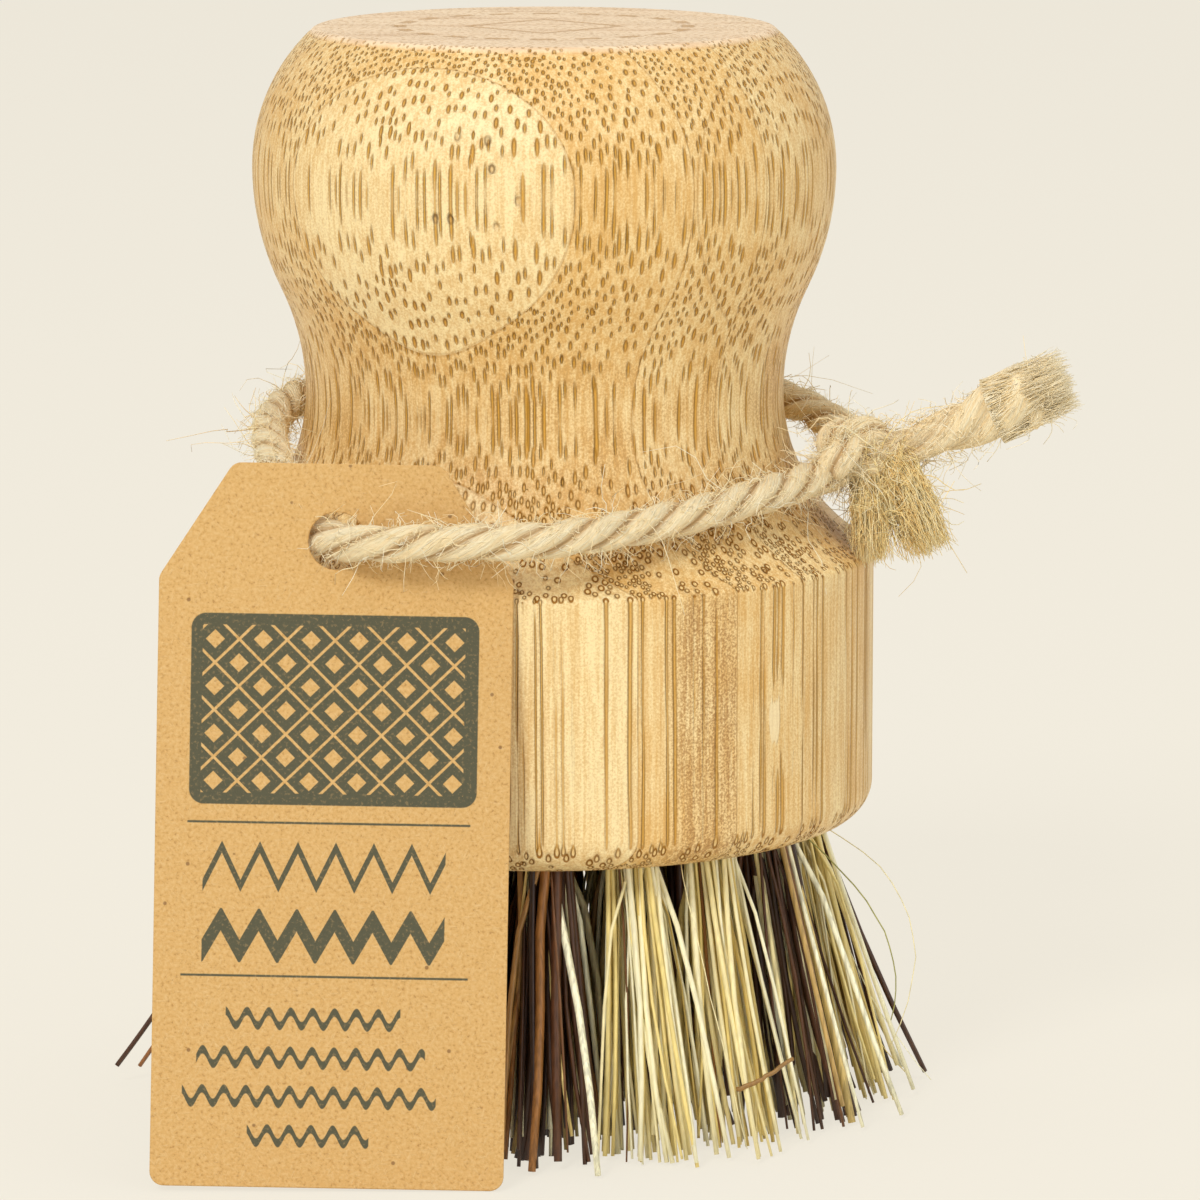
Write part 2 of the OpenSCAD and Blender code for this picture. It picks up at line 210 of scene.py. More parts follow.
class BrushTufts(bpy.types.PropertyGroup):
    """Sizes and colours of the fibre tufts."""

    pale_count: count_property("Pale strands", "Strands in one pale tuft", 62)
    dark_count: count_property("Dark strands", "Strands in one dark tuft", 44)
    pale_radius: length_property("Pale radius", "Mean radius of a pale strand", 0.27 * MM)
    dark_radius: length_property("Dark radius", "Mean radius of a dark strand", 0.38 * MM)
    bundle_radius: length_property(
        "Tuft radius", "Radius of a tuft where it leaves its hole", 2.25 * MM)
    face_flare: bpy.props.FloatProperty(
        name="Face flare", description="Widening of the brush face down to the tips", default=1.22)
    tuft_flare: bpy.props.FloatProperty(
        name="Tuft flare", description="Widening of one tuft down to its tips", default=2.15)
    cream: colour_property("Cream", "Palest strands", 255, 250, 214)
    straw: colour_property("Straw", "Common pale strands", 250, 227, 146)
    tan: colour_property("Tan", "Brown strands among the pale ones", 168, 114, 58)
    umber: colour_property("Umber", "Dark strands", 84, 53, 33)
    wheat: colour_property("Wheat", "Deepest of the pale strands", 214, 186, 106)
    rust: colour_property("Rust", "Red-brown strands among the dark ones", 98, 62, 38)
    darkest: colour_property("Darkest", "Darkest strands", 62, 41, 28)
    chestnut: colour_property("Chestnut", "Stray brown fibres", 150, 96, 50)
    green: colour_property("Green", "Stray green fibres", 176, 172, 96)


class BrushTwine(bpy.types.PropertyGroup):
    """Sizes and colours of the jute twine."""

    diameter: length_property("Diameter", "Diameter over the three plies", 3 * MM)
    lay: length_property("Lay", "Length in which a ply goes once round", 14 * MM)
    hairs: count_property("Hairs", "Loose hairs on the loop", 5000)
    # Light colours the pale fibre streaks and paints light on the crests of the plies; Dark paints
    # shade deep between the plies and also colours the fine gaps between fibres.
    light: colour_property("Light", "Sunlit fibres", 255, 242, 206)
    middle: colour_property("Middle", "Common fibres", 253, 228, 178)
    dark: colour_property("Dark", "Fibres deep between the plies", 206, 168, 116)


class BrushTag(bpy.types.PropertyGroup):
    """Sizes and colours of the card."""

    width: length_property("Width", "Width of the card", 30.8 * MM)
    length: length_property("Length", "Length of the card", 63 * MM)
    thickness: length_property("Thickness", "Thickness of the card", 0.5 * MM)
    hole: length_property("Hole", "Diameter of the punched hole", 5 * MM)
    hole_drop: length_property("Hole drop", "From the top edge to the middle of the hole", 6.7 * MM)
    chamfer_width: length_property("Cut width", "Width of the cut-off top corners", 6.7 * MM)
    chamfer_height: length_property("Cut height", "Height of the cut-off top corners", 9.7 * MM)
    corner: length_property("Corner", "Radius of the rounded corners", 1.2 * MM)
    lean: angle_property("Lean", "Lean of the card away from the bristles", 9)
    turn: angle_property("Turn", "Turn of the card in its own plane", 1)
    card: colour_property("Card", "Unbleached card", 211, 168, 104)
    ink: colour_property("Ink", "Printed areas and lines", 83, 84, 67)
    light: colour_property("Light", "Pale fibres in the card", 229, 193, 136)
    brown: colour_property("Brown", "Dark grains in the card", 156, 112, 64)
    speck: colour_property("Speck", "Single dark specks", 120, 84, 52)


class BrushStage(bpy.types.PropertyGroup):
    """Camera, lamps and floor."""

    distance: length_property("Distance", "From the camera to the point it looks at", 0.62)
    pitch: angle_property("Pitch", "Downward tilt of the camera", 9.94)
    lens: bpy.props.FloatProperty(
        name="Lens", description="Focal length in millimetres", default=203.4)
    aim: bpy.props.FloatVectorProperty(
        name="Aim", description="The point that the camera looks at", default=(0.00503, 0, 0.0455),
        subtype="XYZ", unit="LENGTH", size=3)
    floor: colour_property("Floor", "Pale floor", 240, 234, 220)
    key: watt_property("Key", "Power of the main lamp", 7.2)
    fill: watt_property("Fill", "Power of the side lamp", 1.6)
    crown: watt_property("Crown", "Power of the lamp overhead", 2.8)
    sky: bpy.props.FloatProperty(
        name="Sky", description="Strength of the light from all round", default=0.55)


# Shapes


def smooth_route(points, step):
    """Evenly spaced points on a smooth curve through the given ones.

    Each stretch is a cubic whose slope at a point is that of the chord between the point's
    neighbours, measured over the straight distances.
    """
    points = np.array(points, float)
    gaps = np.linalg.norm(np.diff(points, axis=0), axis=1)
    at = np.concatenate([[0], np.cumsum(gaps)])
    slope = np.empty_like(points)
    slope[1:-1] = (points[2:] - points[:-2]) / (at[2:] - at[:-2])[:, None]
    slope[0] = (points[1] - points[0]) / gaps[0]
    slope[-1] = (points[-1] - points[-2]) / gaps[-1]
    fine = np.linspace(0, at[-1], 4 * int(at[-1] / step) + 1)
    i = np.clip(np.searchsorted(at, fine, side="right") - 1, 0, len(gaps) - 1)
    t = ((fine - at[i]) / gaps[i])[:, None]
    h = gaps[i][:, None]
    curve = (
        (1 + 2 * t) * (1 - t) ** 2 * points[i]
        + t * (1 - t) ** 2 * h * slope[i]
        + t**2 * (3 - 2 * t) * points[i + 1]
        + t**2 * (t - 1) * h * slope[i + 1]
    )
    run = np.concatenate([[0], np.cumsum(np.linalg.norm(np.diff(curve, axis=0), axis=1))])
    even = np.linspace(0, run[-1], max(2, round(run[-1] / step)) + 1)
    return np.stack([np.interp(even, run, curve[:, k]) for k in range(3)], axis=1)


def unit(vectors):
    return vectors / np.linalg.norm(vectors, axis=-1, keepdims=True)


def cross_axes(paths, side):
    """Two unit directions across a path at each of its points, square to its run.

    The first is the cross product of the run and of side, and the second that of the run and
    of the first, so going from the first to the second turns about the run.
    """
    run = unit(np.gradient(paths, axis=-2))
    first = unit(np.cross(run, side))
    return first, np.cross(run, first)


def tube_faces(rings, sides):
    """Faces of a closed tube whose rings follow each other: quads, and a cap at each end."""
    a = np.arange(rings - 1)[:, None] * sides + np.arange(sides)
    b = np.arange(rings - 1)[:, None] * sides + (np.arange(sides) + 1) % sides
    quads = np.stack([a, b, b + sides, a + sides], axis=-1).reshape(-1, 4)
    caps = np.stack([np.arange(sides)[::-1], (rings - 1) * sides + np.arange(sides)])
    return quads, caps


def put_mesh(name, points, face_groups, material, smooth=True, attributes=None):
    """A mesh object from an array of points and arrays of faces, with its own attributes."""
    mesh = bpy.data.meshes.new(name)
    faces = [face for group in face_groups for face in np.asarray(group).tolist()]
    mesh.from_pydata(np.asarray(points).reshape(-1, 3).tolist(), [], faces)
    mesh.polygons.foreach_set("use_smooth", np.full(len(faces), smooth))
    for key, values in (attributes or {}).items():
        values = np.asarray(values, np.float32)
        if values.ndim == 1:
            layer = mesh.attributes.new(key, "FLOAT", "POINT")
            layer.data.foreach_set("value", values)
        else:
            layer = mesh.attributes.new(key, "FLOAT_VECTOR", "POINT")
            layer.data.foreach_set("vector", values.ravel())
    mesh.materials.append(material)
    mesh.update()
    piece = bpy.data.objects.new(name, mesh)
    bpy.context.scene.collection.objects.link(piece)
    return piece


def strands(paths, radii, sides, side, flat=1.0):
    """Points and faces of thin closed tubes round many paths at once.

    paths is strand by ring by three, radii strand by ring. Each ring is an ellipse across its
    path, flat times as thick as it is wide.
    """
    count, rings = paths.shape[:2]
    first, second = cross_axes(paths, np.asarray(side))
    angle = 2 * np.pi * np.arange(sides) / sides
    wide = np.cos(angle)[:, None] * first[:, :, None]
    thick = np.sin(angle)[:, None] * second[:, :, None]
    flat = np.broadcast_to(np.asarray(flat, float), (count,))[:, None, None, None]
    points = paths[:, :, None] + radii[:, :, None, None] * (wide + flat * thick)
    quads, caps = tube_faces(rings, sides)
    starts = (np.arange(count) * rings * sides)[:, None, None]
    return points.reshape(-1, 3), [
        (quads + starts).reshape(-1, 4), (caps + starts).reshape(-1, sides)]


def per_strand(values, rings, sides):
    """Repeats one value for each strand over the points of its tube."""
    return np.repeat(values, rings * sides)


def three_ply(path, ply_radius, ply_out, lay, side, start, columns=42):
    """Points, faces and lay coordinates of a rope of three plies along a path.

    Across the rope the outline is that of three rounds whose middles stand ply_out from the
    path: at the angle f from a ply's middle it lies at ply_out cos f plus the root of
    ply_radius squared less (ply_out sin f) squared. It turns once in each lay of length.
    """
    step = np.linalg.norm(np.diff(path, axis=0), axis=1)
    run = np.concatenate([[0], np.cumsum(step)])
    ply_radius = np.broadcast_to(ply_radius, run.shape)[:, None]
    ply_out = np.broadcast_to(ply_out, run.shape)[:, None]
    angle = 2 * np.pi * np.arange(columns) / columns
    off = (angle + np.pi / 3) % (2 * np.pi / 3) - np.pi / 3
    across = ply_out * np.cos(off) + np.sqrt(
        np.maximum(ply_radius**2 - (ply_out * np.sin(off)) ** 2, (0.12 * ply_radius) ** 2))
    turned = angle + start - 2 * np.pi * run[:, None] / lay
    first, second = cross_axes(path, np.asarray(side))
    points = path[:, None] + across[..., None] * (
        np.cos(turned)[..., None] * first[:, None] + np.sin(turned)[..., None] * second[:, None])
    # the tone runs from 0 deep between the plies to 1 on their crests; the jute material paints
    # shade and light by it
    crest = (across - across.min()) / np.ptp(across)
    around = np.broadcast_to(angle, across.shape)
    lay_at = np.stack([
        1.5 * np.cos(around), 1.5 * np.sin(around),
        np.broadcast_to(run[:, None] / MM, across.shape)], axis=-1)
    return points.reshape(-1, 3), tube_faces(len(path), columns), {
        "lay": lay_at.reshape(-1, 3), "tone": crest.ravel()}


def tuft_places():
    """Middle of each tuft in plan, ring by ring, in the order of the tufts' numbers."""
    places = [np.zeros((1, 2))]
    for ring in range(1, TUFT_RINGS + 1):
        angle = (np.arange(6 * ring) + (ring % 2) / 2) * np.pi / 3 / ring
        places.append(ring * TUFT_PITCH * np.stack([np.cos(angle), np.sin(angle)], axis=1))
    return np.concatenate(places)


# Node trees


class Wires:
    """Adds nodes to one shader tree and links what it is given."""

    def __init__(self, tree):
        self.tree = tree

    def add(self, kind, inputs=None, **settings):
        node = self.tree.nodes.new(kind)
        node.location = (200 * len(self.tree.nodes), 0)
        for name, value in settings.items():
            setattr(node, name, value)
        for name, value in (inputs or {}).items():
            self.plug(node.inputs[name], value)
        return node

    def plug(self, socket, value):
        if isinstance(value, bpy.types.NodeSocket):
            self.tree.links.new(value, socket)
        else:
            socket.default_value = value

    def math(self, operation, *values, clamp=False):
        node = self.add("ShaderNodeMath", operation=operation, use_clamp=clamp)
        for socket, value in zip(node.inputs, values):
            self.plug(socket, value)
        return node.outputs[0]

    def chain(self, operation, values):
        """The operation on the first two values, then on its result and the third, and so on."""
        result = values[0]
        for value in values[1:]:
            result = self.math(operation, result, value)
        return result

    def total(self, *values):
        return self.chain("ADD", values)

    def product(self, *values):
        return self.chain("MULTIPLY", values)

    def largest(self, *values):
        return self.chain("MAXIMUM", values)

    def less(self, a, b):
        return self.math("SUBTRACT", a, b)

    def ratio(self, a, b):
        return self.math("DIVIDE", a, b)

    def above(self, a, b):
        return self.math("GREATER_THAN", a, b)

    def below(self, a, b):
        return self.math("LESS_THAN", a, b)

    def size(self, value):
        return self.math("ABSOLUTE", value)

    def apart(self, a, b):
        return self.size(self.less(a, b))

    def scaled_sum(self, a, factor, b):
        """a times factor, plus b."""
        return self.math("MULTIPLY_ADD", a, factor, b)

    def hypotenuse(self, a, b):
        return self.math("SQRT", self.total(self.product(a, a), self.product(b, b)))

    def vector(self, operation, *values):
        node = self.add("ShaderNodeVectorMath", operation=operation)
        for socket, value in zip(node.inputs, values):
            self.plug(socket, value)
        return node.outputs

    def scaled(self, vector, factor):
        node = self.add("ShaderNodeVectorMath", {"Scale": factor}, operation="SCALE")
        self.plug(node.inputs[0], vector)
        return node.outputs[0]

    def fade(self, value, low, high, to_low=0.0, to_high=1.0):
        """Runs smoothly from to_low at low to to_high at high."""
        return self.add(
            "ShaderNodeMapRange",
            {"Value": value, "From Min": low, "From Max": high, "To Min": to_low,
             "To Max": to_high},
            interpolation_type="SMOOTHSTEP").outputs["Result"]

    def blend(self, share, a, b, how="MIX"):
        node = self.add("ShaderNodeMix", data_type="RGBA", blend_type=how)
        self.plug(node.inputs[0], share)
        self.plug(node.inputs[6], a)
        self.plug(node.inputs[7], b)
        return node.outputs[2]

    def over(self, ground, colour, *shares):
        """The colour laid over the ground by the product of the shares."""
        return self.blend(self.product(*shares), ground, colour)

    def stretched(self, vector, x, y, z, shift=0, turn=0):
        """The vector scaled, turned about the third axis, then shifted along the first."""
        return self.add("ShaderNodeMapping", {
            "Vector": vector, "Scale": (x, y, z), "Location": (shift, 0, 0),
            "Rotation": (0, 0, turn)}).outputs[0]

    def noise(self, vector, scale, detail, rough=0.5, output=0):
        return self.add("ShaderNodeTexNoise", {
            "Vector": vector, "Scale": scale, "Detail": detail, "Roughness": rough}).outputs[output]

    def parts(self, vector):
        return self.add("ShaderNodeSeparateXYZ", {"Vector": vector}).outputs

    def joined(self, x, y, z):
        return self.add("ShaderNodeCombineXYZ", {"X": x, "Y": y, "Z": z}).outputs[0]

    def attribute(self, name, output):
        return self.add("ShaderNodeAttribute", attribute_name=name).outputs[output]

    def millimetres(self):
        """Object coordinates in millimetres."""
        place = self.add("ShaderNodeTexCoord").outputs["Object"]
        return self.stretched(place, 1 / MM, 1 / MM, 1 / MM)

    def shared(self, name, inputs):
        """Outputs of the shared node group of that name, built the first time it is needed."""
        if name not in GROUPS:
            GROUPS[name] = GROUP_MAKERS[name]()
        return self.add("ShaderNodeGroup", inputs, node_tree=GROUPS[name]).outputs


def shader_group(name, inputs, outputs):
    """An empty shader node group with float sockets; one called Vector is a vector."""
    tree = bpy.data.node_groups.new(name, "ShaderNodeTree")
    for socket in inputs:
        kind = "NodeSocketVector" if socket == "Vector" else "NodeSocketFloat"
        tree.interface.new_socket(socket, in_out="INPUT", socket_type=kind)
    for socket in outputs:
        tree.interface.new_socket(socket, in_out="OUTPUT", socket_type="NodeSocketFloat")
    wires = Wires(tree)
    return wires, wires.add("NodeGroupInput").outputs, wires.add("NodeGroupOutput").inputs


def bundle_group():
    """Vascular bundles cut across: a dark rim round a pale heart at each scattered point, in a
    shallow bowl.

    The pattern lies in the first two coordinates, so along the third it is drawn out as the
    bundles are in the stem.
    """
    wires, given, out = shader_group(
        "vascular_bundles", ["Vector", "Spacing", "Radius"],
        ["Rim", "Heart", "Bowl", "Chance", "Across"])
    cells = wires.add("ShaderNodeTexVoronoi", {
        "Vector": wires.scaled(given["Vector"], wires.ratio(1.0, given["Spacing"])),
        "Scale": 1.0, "Randomness": 0.62}, voronoi_dimensions="2D").outputs
    chance = wires.parts(cells["Color"])[0]
    size = wires.scaled_sum(chance, 0.5, 0.75)
    far = wires.ratio(wires.product(cells["Distance"], given["Spacing"]),
                      wires.product(size, given["Radius"]))
    inside = wires.fade(far, 1.12, 0.88)
    heart = wires.fade(far, 0.62, 0.4)
    wires.plug(out["Rim"], wires.math("SUBTRACT", inside, heart, clamp=True))
    wires.plug(out["Heart"], heart)
    wires.plug(out["Bowl"], wires.fade(far, 1.5, 0.2))
    wires.plug(out["Chance"], chance)
    wires.plug(out["Across"], wires.product(wires.parts(cells["Position"])[1], given["Spacing"]))
    return wires.tree


def streak_group():
    """Fine fibres: noise drawn out along the third coordinate, coarse and fine together."""
    wires, given, out = shader_group(
        "fibre_streaks", ["Vector", "Width", "Length"], ["Streaks", "Fine"])
    thin = wires.ratio(1.0, given["Width"])
    slow = wires.ratio(1.0, given["Length"])
    drawn = wires.vector("MULTIPLY", given["Vector"], wires.joined(thin, thin, slow))[0]
    wires.plug(out["Streaks"], wires.noise(drawn, 1.0, 2.0))
    wires.plug(out["Fine"], wires.noise(drawn, 2.7, 3.0, 0.6))
    return wires.tree


def speckle_group():
    """Fine grains and larger clouds of them."""
    wires, given, out = shader_group("speckle", ["Vector", "Grain", "Cloud"], ["Grains", "Clouds"])
    for socket, size, detail in (("Grains", "Grain", 3.0), ("Clouds", "Cloud", 2.0)):
        place = wires.scaled(given["Vector"], wires.ratio(1.0, given[size]))
        wires.plug(out[socket], wires.noise(place, 1.0, detail, 0.6))
    return wires.tree


def rounded_box_group():
    """A printed rectangle with rounded corners: 1 inside and 0 outside, in card millimetres."""
    wires, given, out = shader_group(
        "printed_box", ["U", "V", "Left", "Right", "Low", "High", "Corner"], ["Mask"])
    over = []
    for place, low, high in (("U", "Left", "Right"), ("V", "Low", "High")):
        middle = wires.product(wires.total(given[low], given[high]), 0.5)
        half = wires.product(wires.less(given[high], given[low]), 0.5)
        away = wires.apart(given[place], middle)
        over.append(wires.largest(wires.less(away, wires.less(half, given["Corner"])), 0.0))
    past_corner = wires.less(wires.hypotenuse(*over), given["Corner"])
    wires.plug(out["Mask"], wires.fade(past_corner, 0.05, -0.05))
    return wires.tree


GROUPS = {}
GROUP_MAKERS = {
    "bundles": bundle_group, "streaks": streak_group, "speckle": speckle_group,
    "printed_box": rounded_box_group,
}


def new_material(name):
    """A material with its Principled shader cleared of links, and the wires to build it."""
    material = bpy.data.materials.new(name)
    material.use_nodes = True
    return material, Wires(material.node_tree), material.node_tree.nodes["Principled BSDF"].inputs


def raise_surface(wires, shader, height, distance):
    bump = wires.add("ShaderNodeBump", {"Height": height, "Distance": distance, "Strength": 1.0})
    wires.plug(shader["Normal"], bump.outputs[0])


def set_sheen(shader, roughness, specular):
    shader["Roughness"].default_value = roughness
    shader["Specular IOR Level"].default_value = specular


# Materials


def set_stops(ramp, stops, interpolation="LINEAR"):
    """Gives a colour ramp its stops, each a place from 0 to 1 and a colour."""
    ramp.interpolation = interpolation
    ramp.elements.remove(ramp.elements[1])
    ramp.elements[0].position, ramp.elements[0].color = stops[0]
    for place, colour in stops[1:]:
        ramp.elements.new(place).color = colour


def ornament(wires):
    """The flat top's ornament, 1 in its lines: a ring of dashes round a lozenge."""
    x, y, _ = wires.parts(wires.millimetres())
    step = np.pi / TOP_DASHES
    dash = wires.math("PINGPONG", wires.math("ARCTAN2", y, x), step)
    off_ring = wires.apart(wires.hypotenuse(x, y), TOP_RING)
    dashes = wires.product(
        wires.fade(off_ring, 0.6 * TOP_RING_WIDTH, 0.4 * TOP_RING_WIDTH),
        wires.fade(dash, 0.6 * step, 0.5 * step))
    off_lozenge = wires.apart(wires.total(wires.size(x), wires.size(y)), TOP_LOZENGE)
    lozenge = wires.fade(off_lozenge, 0.6 * TOP_LOZENGE_WIDTH, 0.4 * TOP_LOZENGE_WIDTH)
    return wires.largest(dashes, lozenge)


def bamboo_material(looks):
    """Glued bamboo, sanded after turning.

    Each layer has its own run of bundles: small and crowded at its skin side, larger and
    further apart towards its other side. They wander a little on their way up, so that an
    upright face cuts each of them over a limited length. Where the face cuts across them they
    are darker than where it runs along them.
    """
    material, wires, shader = new_material("turned_bamboo")
    layer = looks.layer / MM
    along, across_back, up = wires.parts(wires.stretched(
        wires.millimetres(), 1, 1, 1, turn=looks.turn))
    across = wires.product(across_back, -1.0)
    number = wires.math("FLOOR", wires.ratio(across, layer))
    side = wires.math("SIGN", wires.total(number, 0.5))
    middle = wires.product(wires.total(number, 0.5), layer)
    slope = wires.size(wires.parts(wires.add("ShaderNodeNewGeometry").outputs["Normal"])[2])
    cut_across = wires.fade(slope, 0.06, 0.4)

    # each layer is taken from its own stretch of one endless stem
    stem = wires.joined(wires.scaled_sum(number, 31.7, along), across, up)
    drift = wires.noise(wires.stretched(stem, 0.11, 0.11, 0.045), 1.0, 2.0, output=1)
    sections = wires.vector(
        "MULTIPLY_ADD", drift, (WANDER, WANDER, 0),
        wires.joined(wires.parts(stem)[0], across, 0.0))[0]

    low = wires.fade(up, *reversed(SHOULDER_RISE))
    wide = wires.scaled_sum(wires.product(low, cut_across), 0.55, 1.0)
    sums = {"Rim": 0.0, "Heart": 0.0, "Chance": 0.0, "Bowl": 0.0}
    for spacing, radius, near, far, missing in SKIN_BANDS:
        cut = wires.shared("bundles", {
            "Vector": sections, "Spacing": spacing, "Radius": wires.product(wide, radius)})
        from_middle = wires.less(wires.less(cut["Across"], WANDER / 2), middle)
        depth = wires.less(layer / 2, wires.product(side, from_middle))
        depth = wires.scaled_sum(wires.less(cut["Chance"], 0.5), 1.4, depth)
        here = wires.product(
            wires.above(depth, near), wires.below(depth, far),
            wires.above(cut["Chance"], wires.product(low, missing)))
        for name in sums:
            sums[name] = wires.total(sums[name], wires.product(here, cut[name]))
    rim, heart, dark, bowl = sums.values()

    streaks = wires.shared("streaks", {"Vector": stem, "Width": 0.4, "Length": 11.0})
    speckle = wires.shared("speckle", {"Vector": stem, "Grain": 0.2, "Cloud": 9.0})
    layers = len(LAYER_TONES)
    tones = wires.add("ShaderNodeValToRGB", {
        "Fac": wires.ratio(wires.total(number, layers / 2 + 0.5), layers)})
    set_stops(tones.color_ramp, [
        (i / layers, (value, value, value, 1)) for i, value in enumerate(LAYER_TONES)], "CONSTANT")
    tone = wires.total(
        tones.outputs["Color"],
        wires.fade(streaks["Streaks"], 0.32, 0.68, -0.12, 0.3),
        wires.fade(speckle["Clouds"], 0.3, 0.7, -0.1, 0.25),
        wires.fade(streaks["Fine"], 0.3, 0.7, -0.14, 0.14),
        wires.fade(speckle["Grains"], 0.3, 0.7, -0.2, 0.2))
    ground = wires.blend(
        wires.math("MINIMUM", tone, 1.0, clamp=True), looks.pale, looks.deep)

    # stain of a stem node low on the second layer, and a fainter one round the neck
    low_stain = wires.product(
        wires.fade(across, 14.9, 15.2), wires.fade(across, 21.2, 19.0),
        wires.fade(up, 52.0, 49.0), wires.above(along, 0.0))
    neck_stain = wires.product(
        wires.fade(wires.apart(up, 64.0), 10.0, 2.0), wires.fade(speckle["Clouds"], 0.42, 0.62))
    grains = wires.fade(wires.scaled_sum(streaks["Streaks"], 0.4, speckle["Grains"]), 0.52, 0.88)
    stain = wires.product(grains, wires.total(
        wires.product(low_stain, 0.62), wires.product(neck_stain, 0.26), 0.22))
    ground = wires.blend(wires.math("MINIMUM", stain, 1.0), ground, looks.stain)

    # flat top, with scratches of the sanding belt and the ornament
    top = wires.fade(up, *TOP_RISE)
    ground = wires.over(ground, looks.top, top, 0.85)
    belt = wires.stretched(wires.millimetres(), 0.055, 0.42, 1.0, turn=0.1)
    scratches = wires.fade(wires.noise(belt, 1.0, 3.0, 0.65), 0.5, 0.66)
    ground = wires.over(ground, looks.scratch, scratches, top, 0.6)
    marks = wires.product(
        ornament(wires), top, wires.fade(speckle["Grains"], 0.3, 0.6, 0.55, 1.0))
    ground = wires.over(ground, looks.mark, marks, 0.8)

    # a healed scar on the third layer: a pale spot in a smooth patch without bundles
    def patch(middle_across, middle_up, half_across, half_up):
        reach = wires.vector("LENGTH", wires.joined(
            wires.product(wires.less(across, middle_across), 1 / half_across),
            wires.product(wires.less(up, middle_up), 1 / half_up), 0.0))["Value"]
        edge = wires.total(reach, wires.fade(streaks["Streaks"], 0.3, 0.7, -0.4, 0.4))
        return wires.product(wires.fade(edge, 1.05, 0.8), wires.above(along, 0.0))

    smooth, scar = patch(*SMOOTH_PATCH), patch(*SCAR)

    # bundles: their colours change from the skirt to the knob and with the way they are cut
    marked = wires.product(
        wires.less(1.0, wires.product(top, 0.5)), wires.less(1.0, wires.product(smooth, 0.9)))
    rim_tone = wires.product(
        wires.fade(dark, 0.0, 1.0, 0.6, 1.0), wires.fade(cut_across, 0.0, 1.0, 0.75, 1.0))
    rim_colour = wires.blend(
        cut_across, looks.gold_rim, wires.blend(low, looks.low_rim, looks.bundle))
    heart_colour = wires.over(looks.heart, looks.pale_heart, cut_across, low)
    heart_colour = wires.over(
        heart_colour, looks.bundle, cut_across, wires.fade(up, *NECK_RISE, 0.0, 0.25))
    full = wires.fade(up, *NECK_RISE, 0.75, 0.95)
    colour = wires.over(ground, heart_colour, heart, marked, full)
    colour = wires.over(colour, rim_colour, rim, rim_tone, marked)
    colour = wires.over(colour, looks.scar, scar, 0.6)

    # pores torn open in the cap of the first layer
    torn = wires.shared("bundles", {
        "Vector": wires.joined(
            wires.scaled_sum(up, 0.31, along),
            wires.scaled_sum(along, 0.4, wires.product(up, -0.6)), 0.0),
        "Spacing": 1.3, "Radius": 0.27})
    torn_here = wires.product(
        wires.fade(wires.apart(along, TORN_ALONG), 5.0, 3.4),
        wires.fade(wires.apart(up, TORN_UP), 4.6, 3.2), wires.above(across, 3 * layer))
    torn_here = wires.product(torn_here, wires.above(torn["Chance"], 0.66))
    colour = wires.over(colour, looks.torn, torn_here, torn["Rim"], 0.6)
    colour = wires.over(colour, looks.torn_heart, torn_here, torn["Heart"], 0.4)

    # glue lines between the layers and at the edge joint
    seam = wires.fade(wires.math("PINGPONG", across, layer / 2), 0.08, 0.03)
    joint = wires.product(
        wires.fade(wires.apart(along, looks.edge_joint / MM), 0.08, 0.03),
        wires.math("COMPARE", number, 1.0, 0.1))
    glue = wires.largest(seam, joint)
    colour = wires.over(colour, looks.bundle, glue, 0.3)

    wires.plug(shader["Base Color"], colour)
    wires.plug(shader["Roughness"], wires.scaled_sum(rim, 0.2, 0.42))
    shader["Specular IOR Level"].default_value = 0.4
    height = wires.total(
        wires.product(bowl, marked, -1.0), wires.product(heart, marked, low, 0.4),
        wires.product(streaks["Fine"], 0.2), wires.product(speckle["Grains"], 0.14),
        wires.product(glue, -0.1), wires.product(marks, -0.5),
        wires.product(torn_here, torn["Bowl"], -1.6), wires.product(scar, 0.3))
    raise_surface(wires, shader, height, 0.26 * MM)
    return material


def fibre_material(name, stops, roughness, spread):
    """Plant strands: each takes its colour from its own tone, and has fine lines along it that
    are lighter and darker by the share called spread."""
    material, wires, shader = new_material(name)
    tone = wires.attribute("tone", "Fac")
    ramp = wires.add("ShaderNodeValToRGB", {"Fac": tone})
    set_stops(ramp.color_ramp, stops)
    streaks = wires.shared("streaks", {
        "Vector": wires.millimetres(), "Width": 0.3, "Length": 9.0})
    shade = wires.fade(streaks["Streaks"], 0.3, 0.7, 1 - spread, 1 + 0.7 * spread)
    colour = wires.blend(1.0, ramp.outputs["Color"], wires.joined(shade, shade, shade), "MULTIPLY")
    wires.plug(shader["Base Color"], colour)
    set_sheen(shader, roughness, 0.45)
    raise_surface(wires, shader, streaks["Fine"], 0.03 * MM)
    return material


def jute_material(name, dark, middle, light):
    """Twisted jute: fine fibres along each ply, with painted shade between the plies and painted
    light on their crests.
    """
    material, wires, shader = new_material(name)
    streaks = wires.shared("streaks", {
        "Vector": wires.attribute("lay", "Vector"), "Width": 0.16, "Length": 2.6})
    crest = wires.attribute("tone", "Fac")
    fibre = wires.fade(streaks["Streaks"], 0.3, 0.72)
    # painted shade: the ground darkens deep between the plies, where the crest tone is low
    ground = wires.blend(wires.fade(crest, 0.1, 0.75), dark, middle)
    # painted light: the pale fibre streaks show most on the crests of the plies
    fibre_and_crest_light = wires.product(fibre, wires.fade(crest, 0.0, 0.6, 0.15, 1.0))
    ground = wires.blend(fibre_and_crest_light, ground, light)
    gap = wires.fade(streaks["Fine"], 0.46, 0.3)
    wires.plug(shader["Base Color"], wires.over(ground, dark, gap, 0.5))
    set_sheen(shader, 0.75, 0.2)
    height = wires.total(streaks["Streaks"], wires.product(streaks["Fine"], 0.6))
    raise_surface(wires, shader, height, 0.25 * MM)
    return material


